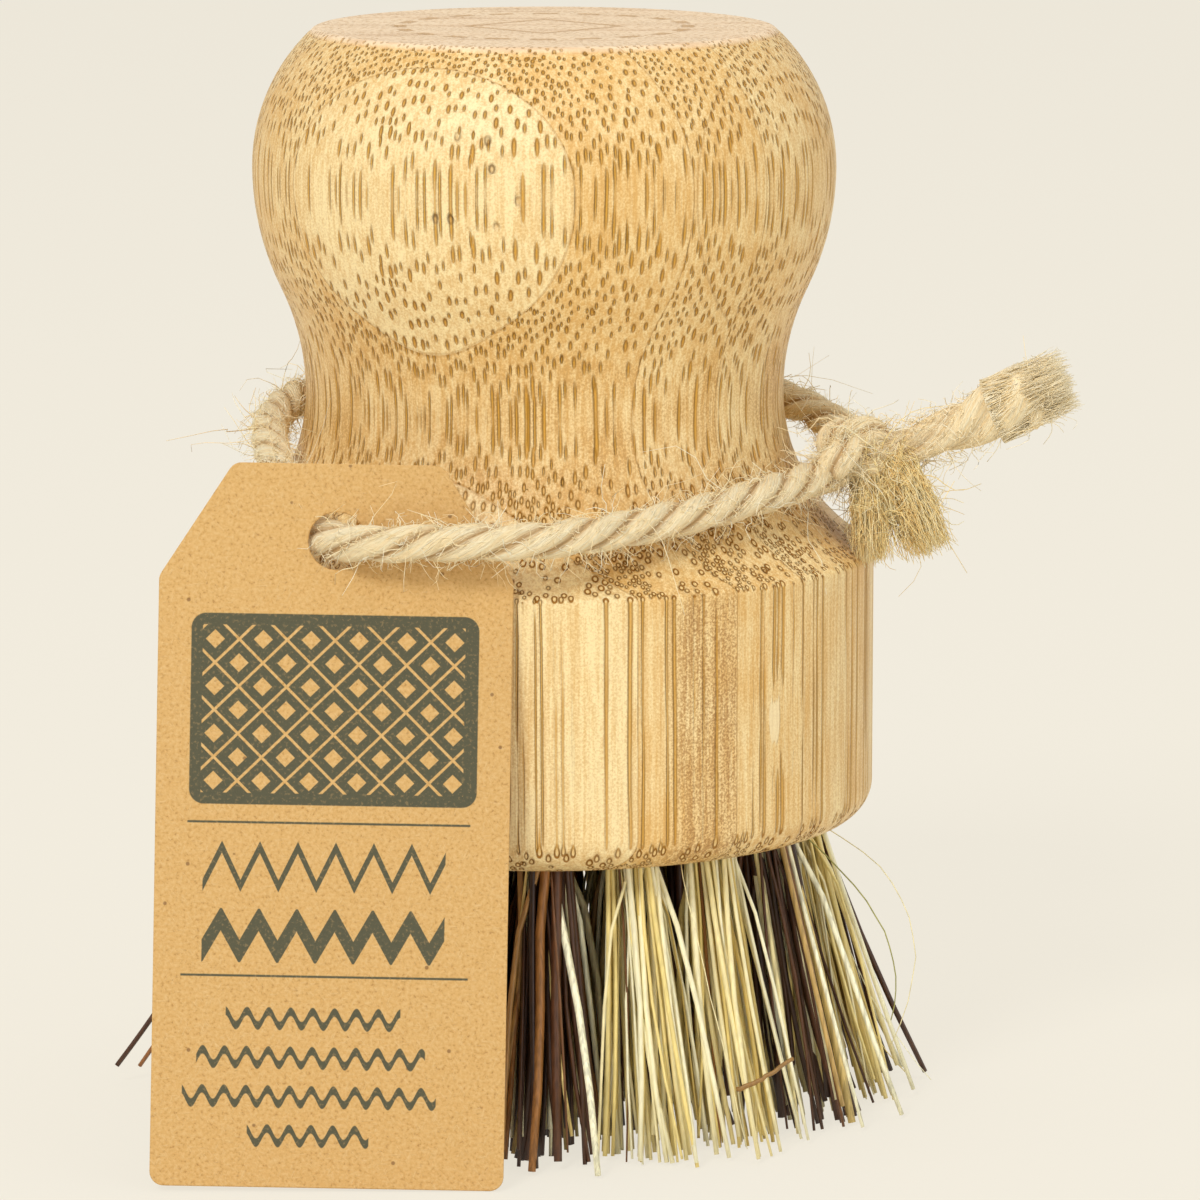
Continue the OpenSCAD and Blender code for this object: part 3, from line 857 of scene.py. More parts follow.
def hair_material(name):
    """Loose jute hairs: each has its own tone between the three shades of its kind."""
    material, wires, shader = new_material(name)
    dark, middle, light = (plain(*screen) for screen in HAIR_SHADES[name])
    tone = wires.attribute("tone", "Fac")
    colour = wires.blend(wires.fade(tone, 0.0, 0.4), dark, middle)
    colour = wires.blend(wires.fade(tone, 0.4, 1.0), colour, light)
    clouds = wires.shared("speckle", {
        "Vector": wires.millimetres(), "Grain": 0.3, "Cloud": 2.0})["Clouds"]
    colour = wires.blend(wires.fade(clouds, 0.5, 0.8, 0.0, 0.3), colour, dark)
    wires.plug(shader["Base Color"], colour)
    set_sheen(shader, 0.6, 0.3)
    return material


def card_material(looks):
    """Unbleached card with a printed panel, rules and plain ornament.

    The panel has a trellis of lozenges, the two wide rows below it are zigzags, and the four
    narrow ones waves.
    """
    material, wires, shader = new_material("kraft_card")
    place = wires.attribute("card", "Vector")
    u, v, _ = wires.parts(place)
    speckle = wires.shared("speckle", {"Vector": place, "Grain": 0.3, "Cloud": 12.0})
    fibres = []
    for turn in (0.4, 1.5, 2.5):
        turned = wires.stretched(place, 1, 1, 1, turn=turn)
        strip = wires.stretched(turned, 6.5, 1.0, 3.0, shift=9 * turn)
        fibres.append(wires.fade(wires.noise(strip, 1.0, 2.0), 0.6, 0.74))
    pale_fibre = wires.largest(*fibres)
    colour = wires.blend(
        wires.fade(speckle["Grains"], 0.42, 0.7, 0.0, 0.5), looks.card, looks.light)
    colour = wires.blend(wires.fade(speckle["Grains"], 0.46, 0.24, 0.0, 0.6), colour, looks.brown)
    colour = wires.over(colour, looks.light, pale_fibre, 0.5)
    specks = wires.add("ShaderNodeTexVoronoi", {"Vector": place, "Scale": 0.35}).outputs
    colour = wires.over(colour, looks.speck, wires.fade(specks["Distance"], 0.08, 0.04), 0.7)

    def box(left, right, low, high, corner=0.06):
        return wires.shared("printed_box", {
            "U": u, "V": v, "Left": left, "Right": right, "Low": low, "High": high,
            "Corner": corner})["Mask"]

    def folded(value, period):
        return wires.math("PINGPONG", value, period / 2)

    # trellis in the panel: lozenge outlines, each round a small full lozenge
    (left, _, low, _), (cell_u, cell_v) = PANEL, TRELLIS_CELL
    slant = wires.total(
        wires.product(folded(wires.total(u, -left), cell_u), 2 / cell_u),
        wires.product(folded(wires.total(v, -low), cell_v), 2 / cell_v))
    outline = wires.fade(wires.apart(slant, 1.0), 0.1, 0.06)
    core = wires.largest(wires.fade(slant, 0.42, 0.38), wires.fade(slant, 1.58, 1.62))
    trellis = wires.product(wires.largest(outline, core), box(*TRELLIS))
    marks = [wires.product(box(*PANEL, corner=1.3), wires.less(1.0, trellis))]

    # rules, zigzags and waves
    marks += [box(*rule) for rule in RULES]
    for middle, height, period, thick, left, right in ZIGZAGS:
        low, high = middle - height / 2, middle + height / 2
        zigzag = wires.product(folded(wires.total(u, -left), period), height * 2 / period)
        gap = wires.apart(wires.less(v, low), zigzag)
        marks.append(wires.product(
            wires.fade(gap, thick + 0.06, thick - 0.06), box(left, right, low - 0.9, high + 0.9)))
    for middle, left, right in WAVES:
        wave = wires.product(wires.math("SINE", wires.product(u, WAVE_PACE)), WAVE_HEIGHT)
        gap = wires.apart(wires.less(v, middle), wave)
        marks.append(wires.product(
            wires.fade(gap, 0.44, 0.32), box(left, right, middle - 1.3, middle + 1.3)))
    ink = wires.largest(*marks)
    front = wires.fade(wires.parts(place)[2], 0.12, 0.2)
    worn = wires.fade(speckle["Grains"], 0.68, 0.54, 0.8, 0.97)
    colour = wires.over(colour, looks.ink, ink, front, worn)
    wires.plug(shader["Base Color"], colour)
    set_sheen(shader, 0.82, 0.2)
    height = wires.total(speckle["Grains"], wires.product(pale_fibre, 0.3))
    raise_surface(wires, shader, height, 0.06 * MM)
    return material


def steel_material():
    """Drawn steel strip of the anchors."""
    material, wires, shader = new_material("anchor_steel")
    streaks = wires.shared("streaks", {
        "Vector": wires.millimetres(), "Width": 0.08, "Length": 2.0})
    wires.plug(shader["Base Color"], wires.blend(
        wires.fade(streaks["Streaks"], 0.3, 0.7), plain(176, 174, 168), plain(206, 204, 198)))
    wires.plug(shader["Roughness"], wires.fade(streaks["Fine"], 0.3, 0.7, 0.28, 0.42))
    shader["Metallic"].default_value = 1.0
    return material


# Pieces


def looks():
    return bpy.context.scene.brush_looks


def dress_bamboo():
    material = bamboo_material(looks().bamboo)
    for name, node in NODES.items():
        if name.startswith("bamboo_"):
            node.material_slots[0].material = material


def tuft_strands(rng, places, count, radius, sizes):
    """Paths and radii of the strands of several tufts.

    A strand leaves its hole at a point of the tuft's round, and on its way down its place in
    plan goes from p + q to face_flare p + tuft_flare q, with p the tuft's middle and q its own
    place in the tuft; the inner tufts flare more. A bow, highest half way, and a drift, which
    grows to the tip, are added. A few leave their hole at once to one side, into the lanes
    between the tufts. The tip is trimmed at a height of its own.
    """
    tufts = len(places)
    reach = sizes.bundle_radius * np.sqrt((np.arange(count) + 0.5) / count)
    golden_angle = np.pi * (3 - np.sqrt(5))
    angle = golden_angle * np.arange(count) + rng.uniform(0, 2 * np.pi, (tufts, 1))
    own = np.stack([reach * np.cos(angle), reach * np.sin(angle)], axis=-1)
    own += rng.normal(0, 0.12 * MM, own.shape)
    inner = np.linalg.norm(places, axis=1) < (TUFT_RINGS - 0.5) * TUFT_PITCH
    flare = np.where(inner, 1.15 * sizes.tuft_flare, sizes.tuft_flare)[:, None, None, None]
    drop = np.array([1.15, 1.0, 0.78, 0.52, 0.26, 0.0])
    way = np.clip(1 - drop, 0, 1)
    bend = (way * (0.8 + 0.2 * way))[:, None]
    middle = np.asarray(places)[:, None, None]
    crossing = np.where(rng.random((tufts, count)) < 0.2, 2.2 * MM, 0.7 * MM)[..., None, None]
    drift = rng.normal(0, 1, (tufts, count, 1, 2)) * crossing * way[:, None] ** 1.3
    bow = rng.normal(0, 0.4 * MM, (tufts, count, 1, 2)) * (np.sin(np.pi * way))[:, None]
    aside = rng.uniform(0, 2 * np.pi, (tufts, count))
    shove = np.where(
        rng.random((tufts, count)) < 0.19, rng.uniform(1.6 * MM, 3.4 * MM, (tufts, count)), 0)
    shove = (shove * np.array([np.cos(aside), np.sin(aside)]))[..., None]
    bow = bow + np.moveaxis(shove, 0, -1) * (1 - np.exp(-5 * way))[:, None]
    plan = middle * (1 + (sizes.face_flare - 1) * bend)
    plan = plan + own[:, :, None] * (1 + (flare - 1) * bend) + drift + bow
    lift = np.abs(rng.normal(0, 0.25 * MM, (tufts, count)))
    lift += np.where(rng.random((tufts, count)) < 0.22, rng.uniform(0, 2.3 * MM, (tufts, count)), 0)
    thick = radius * rng.uniform(0.5, 1.4, (tufts, count, 1))
    tip = lift[..., None] + 0.5 * thick
    height = tip + drop * (WOOD_LOW - tip)
    paths = np.concatenate([plan, height[..., None]], axis=-1)
    radii = thick * np.array([0.8, 1.0, 1.0, 0.97, 0.92, 0.8])
    return paths.reshape(-1, 6, 3), radii.reshape(-1, 6)


def make_tufts():
    sizes = looks().tufts
    cream, straw, tan, umber = sizes.cream, sizes.straw, sizes.tan, sizes.umber
    kinds = {
        "pale_fibre": ("pale_tufts", sizes.pale_count, sizes.pale_radius, 0.42, 0.1, 11, [
            (0.0, straw), (0.13, cream), (0.28, straw), (0.42, cream), (0.56, straw),
            (0.74, sizes.wheat), (0.86, straw), (0.9, tan), (0.97, umber)]),
        "dark_fibre": ("dark_tufts", sizes.dark_count, sizes.dark_radius, 0.38, 0.28, 12, [
            (0.0, sizes.darkest), (0.32, umber), (0.44, sizes.rust), (0.53, tan),
            (0.61, straw), (0.86, cream)]),
    }
    places = tuft_places()
    for slot, (name, count, radius, rough, spread, seed, stops) in kinds.items():
        rng = np.random.default_rng(seed)
        numbers = [
            i for i in range(len(places))
            if NODES[f"tuft_{i + 1:02d}"].material_slots[0].material.name.startswith(slot)]
        paths, radii = tuft_strands(rng, places[numbers], count, radius, sizes)
        points, faces = strands(
            paths, radii, 5, side=(1.0, 0.2, 0.0), flat=rng.uniform(0.55, 1, len(paths)))
        # the thickest strands keep to the first colours
        tone = rng.random(len(paths)) * np.interp(radii[:, 1] / radius, (0.9, 1.4), (1.0, 0.5))
        piece = put_mesh(
            name, points, faces, fibre_material(name, stops, rough, spread),
            attributes={"tone": per_strand(tone, 6, 5)})
        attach(piece, "brush")
        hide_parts(*(f"tuft_{i + 1:02d}" for i in numbers))


def hairs_on(rng, path, radius, side, count, mean, most, droop, rings=6):
    """Paths of loose hairs that leave a twine's surface and bow.

    Each starts just under the surface at a random angle round the path, and leaves between
    outward and along the path. Its way is the start direction times t plus a sideways bow
    and a drop, both growing with t squared, and a slow wave, all times its length, which is
    mean on the average and at most the given most.
    """
    first, second = cross_axes(path, np.asarray(side))
    run = unit(np.gradient(path, axis=0))
    at = rng.integers(0, len(path), count)
    angle = rng.uniform(0, 2 * np.pi, count)[:, None]
    out = np.cos(angle) * first[at] + np.sin(angle) * second[at]
    around = -np.sin(angle) * first[at] + np.cos(angle) * second[at]
    length = np.minimum(rng.exponential(mean, count) + 0.4 * mean, most)[:, None]
    start = path[at] + out * 0.85 * radius
    heading = unit(
        out * rng.uniform(0.15, 0.9, (count, 1)) + run[at] * rng.normal(0, 1.1, (count, 1))
        + around * rng.normal(0, 0.6, (count, 1)))
    bow = around * rng.normal(0, 0.5, (count, 1)) + run[at] * rng.normal(0, 0.4, (count, 1))
    down = np.array([0, 0, -1.0]) * droop * rng.uniform(0.3, 1.2, (count, 1))
    t = np.linspace(0, 1, rings)[:, None]
    wave = rng.normal(0, 0.16, (count, 1, 3)) * np.sin(2.2 * np.pi * t) * t
    return start[:, None] + length[:, None] * (
        heading[:, None] * t + (bow + down)[:, None] * t**2 + wave)


def make_strays():
    """Single fibres that stand out of the brush, each through three points in millimetres: its
    root at the wood, its middle and its tip."""
    sizes = looks().tufts
    rng = np.random.default_rng(31)
    thick_ones = (
        (0.3, 0.1, ((-22.5, 1, 26.5), (-31.6, 0.5, 13.2), (-39.6, 0, 1.8))),
        (0.26, 0.3, ((-21.5, -4, 26.5), (-30.4, -3, 13), (-37.4, -2, 2.2))),
        (0.24, 0.34, ((17.1, -26.8, 6.2), (19.6, -26.6, 7.2), (22.2, -25.6, 8.8))),
    )
    fine_ones = (
        (0.07, 0.5, ((22, -8, 26.5), (30.5, -8, 17), (31.5, -8, 8))),
        (0.05, 0.8, ((23, -5, 26.5), (33, -6, 18), (31.5, -7, 5))),
        (0.05, 0.9, ((23.5, -2, 26.5), (28.5, -3, 12), (35.5, -4, 1.4))),
        (0.06, 0.7, ((22.5, 3, 26.5), (27.5, 2, 10), (33.5, 1, 0.8))),
        (0.05, 0.8, ((12, -22, 26.5), (15, -28.5, 14), (18, -31.5, 2))),
    )
    t = np.linspace(0, 1, 14)[:, None]
    paths, radii, tone = [], [], []
    for thick, shade, (root, middle, tip) in thick_ones + fine_ones:
        root, middle, tip = (np.array(p) * MM for p in (root, middle, tip))
        paths.append(
            2 * (t - 0.5) * (t - 1) * root + 4 * t * (1 - t) * middle + 2 * t * (t - 0.5) * tip
            + rng.normal(0, 0.05 * MM, (14, 3)))
        radii.append(thick * MM * np.linspace(1, 0.8, 14))
        tone.append(shade)
    points, faces = strands(np.array(paths), np.array(radii), 5, side=(1.0, 0.2, 0.1))
    stops = [
        (0.0, sizes.umber), (0.2, sizes.umber), (0.3, sizes.chestnut), (0.5, sizes.green),
        (0.7, sizes.straw), (0.9, sizes.cream)]
    piece = put_mesh(
        "stray_fibres", points, faces, fibre_material("stray_fibre", stops, 0.4, 0.2),
        attributes={"tone": per_strand(np.array(tone), 14, 5)})
    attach(piece, "brush")


def add_hairs(name, paths, thick, rng, material):
    paths = clear_of_wood(paths)
    radii = thick * rng.uniform(0.7, 1.2, (len(paths), 1)) * np.linspace(1, 0.45, paths.shape[1])
    points, faces = strands(paths, radii, 3, side=(0.35, 0.2, 0.9))
    tone = per_strand(rng.random(len(paths)), paths.shape[1], 3)
    piece = put_mesh(name, points, faces, material, attributes={"tone": tone})
    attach(piece, "twine")
    return piece


def clear_of_wood(paths, gap=0.25 * MM):
    """The same paths, with each point that would lie in the handle moved straight out of it.

    The handle's radius at a height is the largest distance from the axis of the corners of
    the middle layer that lie within a band of that height, drawn straight between the bands.
    A point nearer the axis than this radius and the gap is moved to that distance.
    """
    band = 0.2 * MM
    wood = NODES["bamboo_layer_4"]
    corners = np.array([wood.matrix_world @ corner.co for corner in wood.data.vertices])
    corners = corners[corners[:, 2] > NECK_Z - SHOULDER_DROP]
    heights, level = np.unique(np.round(corners[:, 2] / band), return_inverse=True)
    widest = np.zeros(len(heights))
    np.maximum.at(widest, level, np.hypot(corners[:, 0], corners[:, 1]))
    least = np.interp(paths[..., 2], heights * band, widest) + gap
    reach = np.hypot(paths[..., 0], paths[..., 1])
    moved = paths.copy()
    moved[..., :2] *= np.maximum(1, least / reach)[..., None]
    return moved


def frayed(
        rng, root, heading, length, root_radius, end_radius, count, clumps, curl, rings=8):
    """Paths of the fibres of an untwisted end.

    A fibre starts at a random place of a round of root_radius and ends near its clump's place
    on a round of end_radius. On the way it goes up to length along the heading, leaves it
    quickly at first and slowly later, and has waves of its own, about curl high.
    """
    heading = unit(np.asarray(heading, float))
    first = unit(np.cross(heading, (0.1, 1.0, 0.05)))
    second = np.cross(heading, first)

    def on_round(radius, angle, share):
        spot = radius * np.sqrt(share)
        return (spot * np.cos(angle))[:, None] * first + (spot * np.sin(angle))[:, None] * second

    angle = rng.uniform(0, 2 * np.pi, count)
    share = rng.random(count)
    clump_angle = rng.uniform(0, 2 * np.pi, clumps)
    clump_share = rng.random(clumps)
    mine = rng.integers(0, clumps, count)
    start = on_round(root_radius, angle, share)
    end = 0.45 * on_round(end_radius, angle, share) + 0.55 * on_round(
        end_radius, clump_angle[mine], clump_share[mine])
    reach = length * (1.08 - 0.55 * rng.random(count) ** 1.4)[:, None]
    t = np.linspace(0, 1, rings)[:, None]
    ease = 1 - (1 - t) ** 2
    paths = np.asarray(root) + start[:, None] * (1 - ease) + end[:, None] * ease
    paths = paths + heading * reach[:, None] * t
    pace = rng.uniform(1.2, 4.2, (count, 1, 3))
    phase = rng.uniform(0, 2 * np.pi, (count, 1, 3))
    wave = np.sin(np.pi * pace * t + phase) * t**0.8
    return paths + curl * rng.normal(0, 1, (count, 1, 3)) * wave


def twisted_piece(name, node, path, shape, lay, side, material, start=0.0):
    """A piece of three plies in the node's place; shape is the plies' radius and distance."""
    points, faces, attributes = three_ply(path, *shape, lay, side, start)
    piece = put_mesh(name, points, faces, material, attributes=attributes)
    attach(piece, "twine")
    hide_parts(node)
    return piece


def trefoil(run_axis, depth_axis):
    """A closed trefoil line round the origin.

    At the turn t it lies KNOT_REACH (sin t + 2 sin 2t) along the run axis, -KNOT_DEPTH sin 3t
    along the depth axis and KNOT_RISE (2 cos 2t - cos t) upwards.
    """
    t = np.linspace(0, 2 * np.pi, 200)[:, None]
    return MM * (
        KNOT_REACH * (np.sin(t) + 2 * np.sin(2 * t)) * run_axis
        - KNOT_DEPTH * np.sin(3 * t) * depth_axis
        + KNOT_RISE * (2 * np.cos(2 * t) - np.cos(t)) * np.array(UP))


def make_twine():
    sizes = looks().twine
    thick = sizes.diameter
    neck = np.array([0, 0, NECK_Z])
    route = np.concatenate([
        neck + np.array(KNOT_ROUTE), HANG + np.array(FRONT_ROUTE), neck + np.array(NECK_ROUTE)])
    path = smooth_route(route, TWINE_STEP)
    ply_radius, ply_out = 0.33 * thick, 0.23 * thick
    twisted = jute_material("twisted_jute", sizes.dark, sizes.middle, sizes.light)
    loose = hair_material("loose_jute")
    golden = hair_material("golden_jute")

    loop = twisted_piece(
        "jute_loop", "twine_loop", path, (ply_radius, ply_out), sizes.lay, UP, twisted)

    rng = np.random.default_rng(21)
    fuzz = add_hairs("jute_fuzz", np.concatenate([
        hairs_on(rng, path, 0.53 * thick, UP, count=sizes.hairs,
                 mean=0.75 * MM, most=2.4 * MM, droop=0.12),
        hairs_on(rng, path, 0.53 * thick, UP, count=260, mean=2.6 * MM, most=6.8 * MM, droop=0.3),
    ]), HAIR_RADIUS, rng, loose)

    # knot: long across the view, with one lobe over the top
    run_axis, depth_axis = unit(np.array([0.75, 0.66, 0.05])), np.array([0.66, -0.75, 0])
    knot_path = neck + np.array(KNOT_AT) + trefoil(run_axis, depth_axis)
    knot = twisted_piece(
        "jute_knot", "twine_knot", knot_path, (0.31 * thick, 0.22 * thick), sizes.lay,
        depth_axis, twisted)

    # long tail: it swells as its twist opens, and closes round under the frayed fibres
    tail_path = smooth_route(neck + np.array(LONG_TAIL), TWINE_STEP)
    way = np.linspace(0, 1, len(tail_path))
    swell = 0.88 + 1.25 * way**1.5
    close = np.sqrt(np.clip((1 - way) / 0.13, 0.01, 1))
    tail = twisted_piece(
        "jute_long_tail", "twine_long_tail", tail_path,
        (ply_radius * swell * close, ply_out * swell * close), sizes.lay * 1.3, UP, twisted, 0.6)

    heading = tail_path[-1] - tail_path[-12]
    tail_fray = add_hairs("jute_long_fray", np.concatenate([
        frayed(rng, tail_path[-20], heading, length=7.0 * MM, root_radius=3.1 * MM,
               end_radius=3.5 * MM, count=2300, clumps=6, curl=0.3 * MM),
        hairs_on(rng, tail_path, 0.8 * thick, UP, count=560, mean=0.8 * MM, most=3 * MM,
                 droop=0.15, rings=8),
    ]), 1.1 * HAIR_RADIUS, rng, hair_material("pale_jute_end"))
    knot_fuzz = add_hairs("jute_knot_fuzz", hairs_on(
        rng, knot_path, 0.5 * thick, depth_axis, count=1300, mean=1.0 * MM,
        most=3.6 * MM, droop=0.2), HAIR_RADIUS, rng, loose)

    # short tail: two frayed bunches, the second one further out, and hairs round both
    root = neck + np.array(SHORT_TAIL)
    core = root + np.array([0.2, -0.14, -0.95]) * np.linspace(0, 7 * MM, 20)[:, None]
    short_tail = add_hairs("jute_short_fray", np.concatenate([
        frayed(rng, root - (0.3 * MM, 0, 0), (0.04, -0.24, -0.95), length=9.4 * MM,
               root_radius=1.2 * MM, end_radius=2.3 * MM, count=1300, clumps=5, curl=0.46 * MM),
        frayed(rng, root + (1.2 * MM, 0, 0), (0.4, -0.24, -0.95), length=9.3 * MM,
               root_radius=1.3 * MM, end_radius=3.0 * MM, count=1600, clumps=6, curl=0.5 * MM),
        hairs_on(rng, core + (0.8 * MM, 0, 0), 3.0 * MM, (1.0, 0, 0), count=460, mean=1.4 * MM,
                 most=4.6 * MM, droop=0.2, rings=8),
    ]), 1.16 * HAIR_RADIUS, rng, golden)
    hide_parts("twine_short_tail")


def card_outline(sizes, step):
    """The card's outline in its own plane, evenly spaced, as one loop about the hole.

    It is the outline round six equal circles, so each corner is an arc between the outward
    directions of the two edges that meet there.
    """
    half, top, r = sizes.width / 2, sizes.hole_drop, sizes.corner
    right = [
        (half - r, top - sizes.length + r),
        (half - r, top - sizes.chamfer_height - r / 2),
        (half - sizes.chamfer_width - r / 4, top - r),
    ]
    middles = np.array(right + [(-x, y) for x, y in reversed(right)])
    edge = np.roll(middles, -1, axis=0) - middles
    facing = np.unwrap(np.arctan2(edge[:, 1], edge[:, 0]) - np.pi / 2)
    before = np.concatenate([[facing[-1] - 2 * np.pi], facing[:-1]])
    angle = before[:, None] + (facing - before)[:, None] * np.linspace(0, 1, 9)
    loop = middles[:, None] + r * np.stack([np.cos(angle), np.sin(angle)], axis=-1)
    loop = loop.reshape(-1, 2)
    loop = np.concatenate([loop, loop[:1]])
    run = np.concatenate([[0], np.cumsum(np.linalg.norm(np.diff(loop, axis=0), axis=1))])
    even = np.linspace(0, run[-1], round(run[-1] / step) + 1)[:-1]
    return np.stack([np.interp(even, run, loop[:, k]) for k in range(2)], axis=1)


def make_tag():
    """The card is a ring-shaped grid: each of its columns is a ray from the hole's edge to the
    outline on the front, over the softened arris, back on the rear and through the hole."""
    sizes = looks().tag
    outline = card_outline(sizes, 0.3 * MM)
    aim = outline / np.linalg.norm(outline, axis=1, keepdims=True)
    arris = 0.09 * MM
    hole = sizes.hole / 2
    face = sizes.thickness / 2
    inner, outer = aim * (hole + arris), outline - aim * arris
    share = np.linspace(0, 1, 22)[:, None, None]
    flat = inner + (outer - inner) * share
    rows = [flat, outline[None], outline[None], flat[::-1], aim[None] * hole, aim[None] * hole]
    heights = [
        np.full(22, face), [face - arris], [arris - face], np.full(22, -face),
        [arris - face], [face - arris]]
    plane = np.concatenate(rows)
    height = np.concatenate(heights)[:, None] * np.ones(len(outline))
    u, v = plane[..., 0], plane[..., 1]
    ripple = 0.1 * MM * np.sin(v / (9 * MM)) * np.sin(u / (7 * MM) + 0.6)
    ripple = ripple * np.clip((np.hypot(u, v) - 4 * MM) / (8 * MM), 0, 1)
    across = height + ripple

    # into place: turned in its own plane, then leaned
    turn, lean = sizes.turn, sizes.lean
    x = u * np.cos(turn) + v * np.sin(turn)
    z = -u * np.sin(turn) + v * np.cos(turn)
    y = -across
    points = HANG + np.stack([
        x, y * np.cos(lean) + z * np.sin(lean), -y * np.sin(lean) + z * np.cos(lean)], axis=-1)
    rings, columns = plane.shape[:2]
    a = np.arange(rings)[:, None] * columns + np.arange(columns)
    b = np.roll(a, -1, axis=1)
    quads = np.stack([a, np.roll(a, -1, axis=0), np.roll(b, -1, axis=0), b], axis=-1).reshape(-1, 4)
    card = put_mesh(
        "kraft_tag", points, [quads], card_material(sizes), smooth=False,
        attributes={"card": np.stack([u, v, height], axis=-1).reshape(-1, 3) / MM})
    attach(card, "hang_tag")
    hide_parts("hang_tag")


def make_stage():
    stage = looks().stage
    scene = bpy.context.scene
    scene.view_settings.view_transform = "Standard"

    corner = 6.0
    material, wires, shader = new_material("pale_floor")
    shader["Base Color"].default_value = stage.floor
    set_sheen(shader, 0.9, 0.1)
    rays = wires.add("ShaderNodeLightPath").outputs
    seen = wires.largest(
        rays["Is Camera Ray"], rays["Is Glossy Ray"], rays["Is Transmission Ray"])
    glow = wires.add("ShaderNodeEmission", {"Color": stage.floor, "Strength": FLOOR_GLOW})
    mixed = wires.add("ShaderNodeMixShader", {"Fac": wires.product(seen, FLOOR_SHARE)})
    wires.plug(mixed.inputs[1], material.node_tree.nodes["Principled BSDF"].outputs[0])
    wires.plug(mixed.inputs[2], glow.outputs[0])
    wires.plug(material.node_tree.nodes["Material Output"].inputs["Surface"], mixed.outputs[0])
    spots = np.array([(-1, -1, 0), (1, -1, 0), (1, 1, 0), (-1, 1, 0)]) * corner
    floor = put_mesh("floor", spots, [np.array([[0, 1, 2, 3]])], material, smooth=False)

    world = bpy.data.worlds.new("soft_sky")
    scene.world = world
    world.use_nodes = True
    sky = world.node_tree.nodes["Background"].inputs
    sky["Color"].default_value = (1, 1, 1, 1)
    sky["Strength"].default_value = stage.sky

    aim = np.array(stage.aim)
    lamps = (
        ("key", (-0.4, -0.86, 0.84), 0.34, stage.key), ("fill", (0.8, -0.75, 0.3), 0.7, stage.fill),
        ("crown", (0.12, 0.1, 1.25), 0.6, stage.crown))
    for name, place, size, power in lamps:
        data = bpy.data.lights.new(name, "AREA")
        data.shape = "DISK"
        data.size = size
        data.energy = power
        lamp = bpy.data.objects.new(name, data)
        lamp.location = place
        heading = unit(aim - np.array(place))
        lamp.rotation_euler = (
            np.pi / 2 + np.arcsin(heading[2]), 0, np.arctan2(-heading[0], heading[1]))
        scene.collection.objects.link(lamp)


def make_camera():
    stage = looks().stage
    data = bpy.data.cameras.new("camera")
    data.lens = stage.lens
    data.sensor_width = 36
    data.clip_start = 0.01
    data.clip_end = 20
    camera = bpy.data.objects.new("camera", data)
    back = stage.distance * np.array([0, -np.cos(stage.pitch), np.sin(stage.pitch)])
    camera.location = np.array(stage.aim) + back
    camera.rotation_euler = (np.pi / 2 - stage.pitch, 0, 0)
    bpy.context.scene.collection.objects.link(camera)
    bpy.context.scene.camera = camera


class BRUSH_OT_camera(bpy.types.Operator):
    """Places the camera"""

    bl_idname = "brush.camera"
    bl_label = "Camera"

    def execute(self, context):
        make_camera()
        return {"FINISHED"}


class BRUSH_OT_twine(bpy.types.Operator):
    """Makes the jute loop with its knot, ends and hairs"""

    bl_idname = "brush.twine"
    bl_label = "Twine"

    def execute(self, context):
        make_twine()
        return {"FINISHED"}


class BRUSH_OT_bamboo(bpy.types.Operator):
    """Finishes the glued and turned handle"""

    bl_idname = "brush.bamboo"
    bl_label = "Bamboo handle"

    def execute(self, context):
        dress_bamboo()
        return {"FINISHED"}


class BRUSH_OT_anchors(bpy.types.Operator):
    """Finishes the metal anchors in the tuft holes"""

    bl_idname = "brush.anchors"
    bl_label = "Anchors"

    def execute(self, context):
        NODES["tuft_anchors"].material_slots[0].material = steel_material()
        return {"FINISHED"}


class BRUSH_OT_tufts(bpy.types.Operator):
    """Makes the plant fibre tufts"""

    bl_idname = "brush.tufts"
    bl_label = "Tufts"

    def execute(self, context):
        make_tufts()
        make_strays()
        return {"FINISHED"}


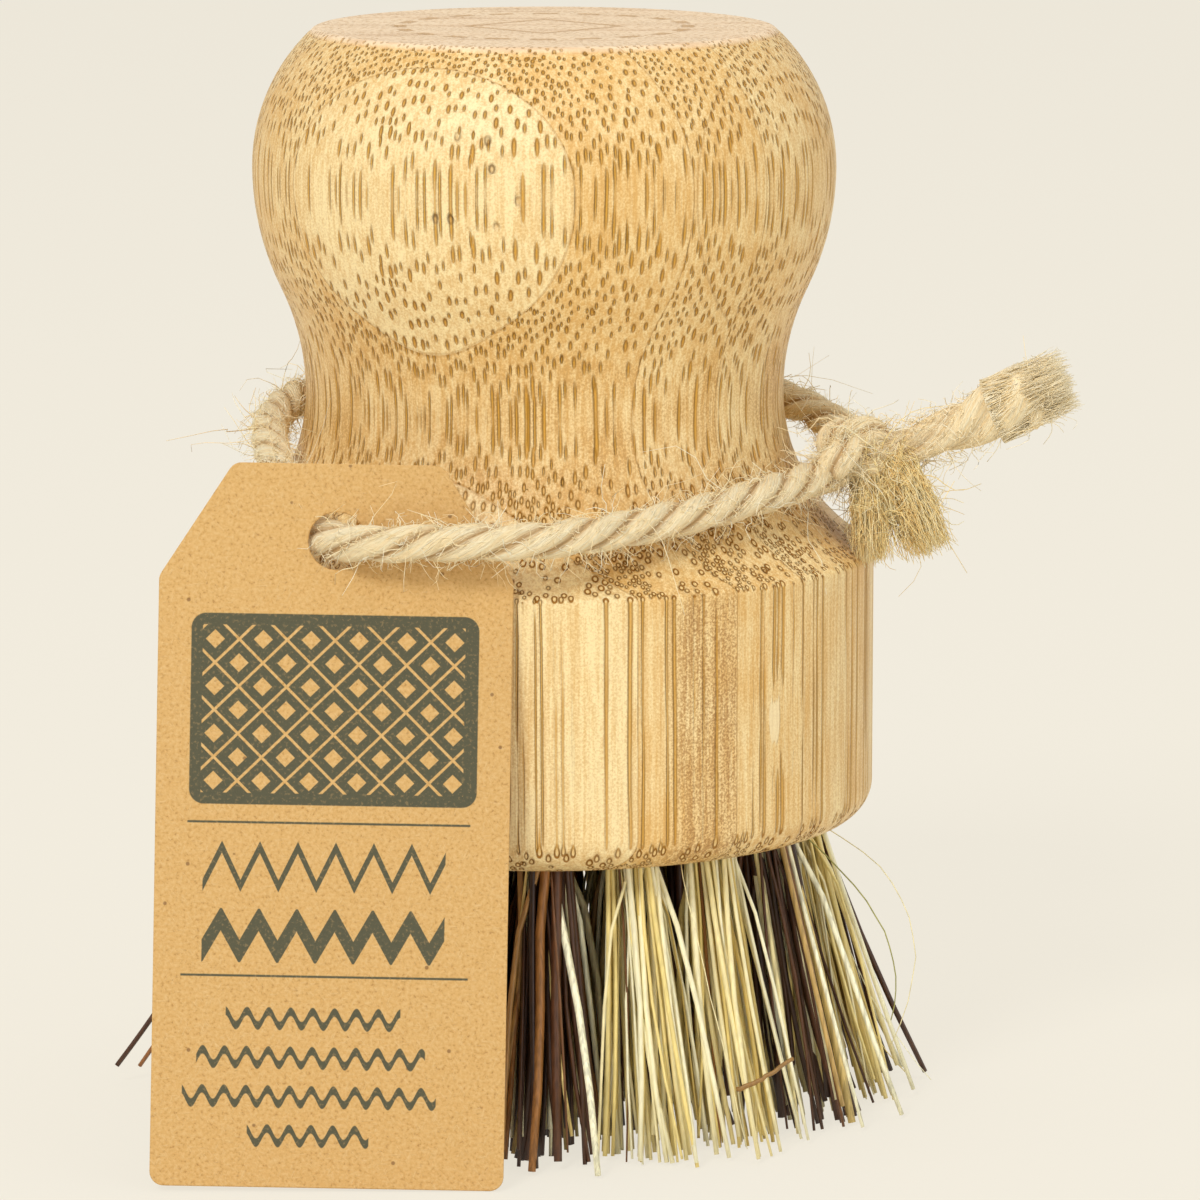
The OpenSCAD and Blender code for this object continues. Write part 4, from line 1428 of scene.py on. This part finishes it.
class BRUSH_OT_tag(bpy.types.Operator):
    """Makes the card tag"""

    bl_idname = "brush.tag"
    bl_label = "Card tag"

    def execute(self, context):
        make_tag()
        return {"FINISHED"}


class BRUSH_OT_stage(bpy.types.Operator):
    """Makes the floor and the lamps"""

    bl_idname = "brush.stage"
    bl_label = "Stage"

    def execute(self, context):
        make_stage()
        return {"FINISHED"}


class BrushLooks(bpy.types.PropertyGroup):
    """All sizes and colours of the brush."""

    bamboo: bpy.props.PointerProperty(type=BrushBamboo)
    tufts: bpy.props.PointerProperty(type=BrushTufts)
    twine: bpy.props.PointerProperty(type=BrushTwine)
    tag: bpy.props.PointerProperty(type=BrushTag)
    stage: bpy.props.PointerProperty(type=BrushStage)


OPERATORS = (
    BRUSH_OT_camera, BRUSH_OT_twine, BRUSH_OT_bamboo, BRUSH_OT_anchors, BRUSH_OT_tufts,
    BRUSH_OT_tag, BRUSH_OT_stage,
)


class BRUSH_PT_panel(bpy.types.Panel):
    """Lists the brush's pieces and their sizes and colours"""

    bl_idname = "BRUSH_PT_panel"
    bl_label = "Brush"
    bl_space_type = "VIEW_3D"
    bl_region_type = "UI"
    bl_category = "Brush"

    def draw(self, context):
        for operator in OPERATORS:
            self.layout.operator(operator.bl_idname)
        for part in ("bamboo", "tufts", "twine", "tag", "stage"):
            box = self.layout.box()
            box.label(text=part.capitalize())
            values = getattr(context.scene.brush_looks, part)
            for name in values.__annotations__:
                box.prop(values, name)


CLASSES = (
    BrushBamboo, BrushTufts, BrushTwine, BrushTag, BrushStage, BrushLooks, *OPERATORS,
    BRUSH_PT_panel,
)


def register():
    for each in CLASSES:
        bpy.utils.register_class(each)
    bpy.types.Scene.brush_looks = bpy.props.PointerProperty(type=BrushLooks)


def unregister():
    del bpy.types.Scene.brush_looks
    for each in reversed(CLASSES):
        bpy.utils.unregister_class(each)


def main():
    register()
    for operator in OPERATORS:
        group_name, call = operator.bl_idname.split(".")
        getattr(getattr(bpy.ops, group_name), call)()


if __name__ == "__main__":
    main()
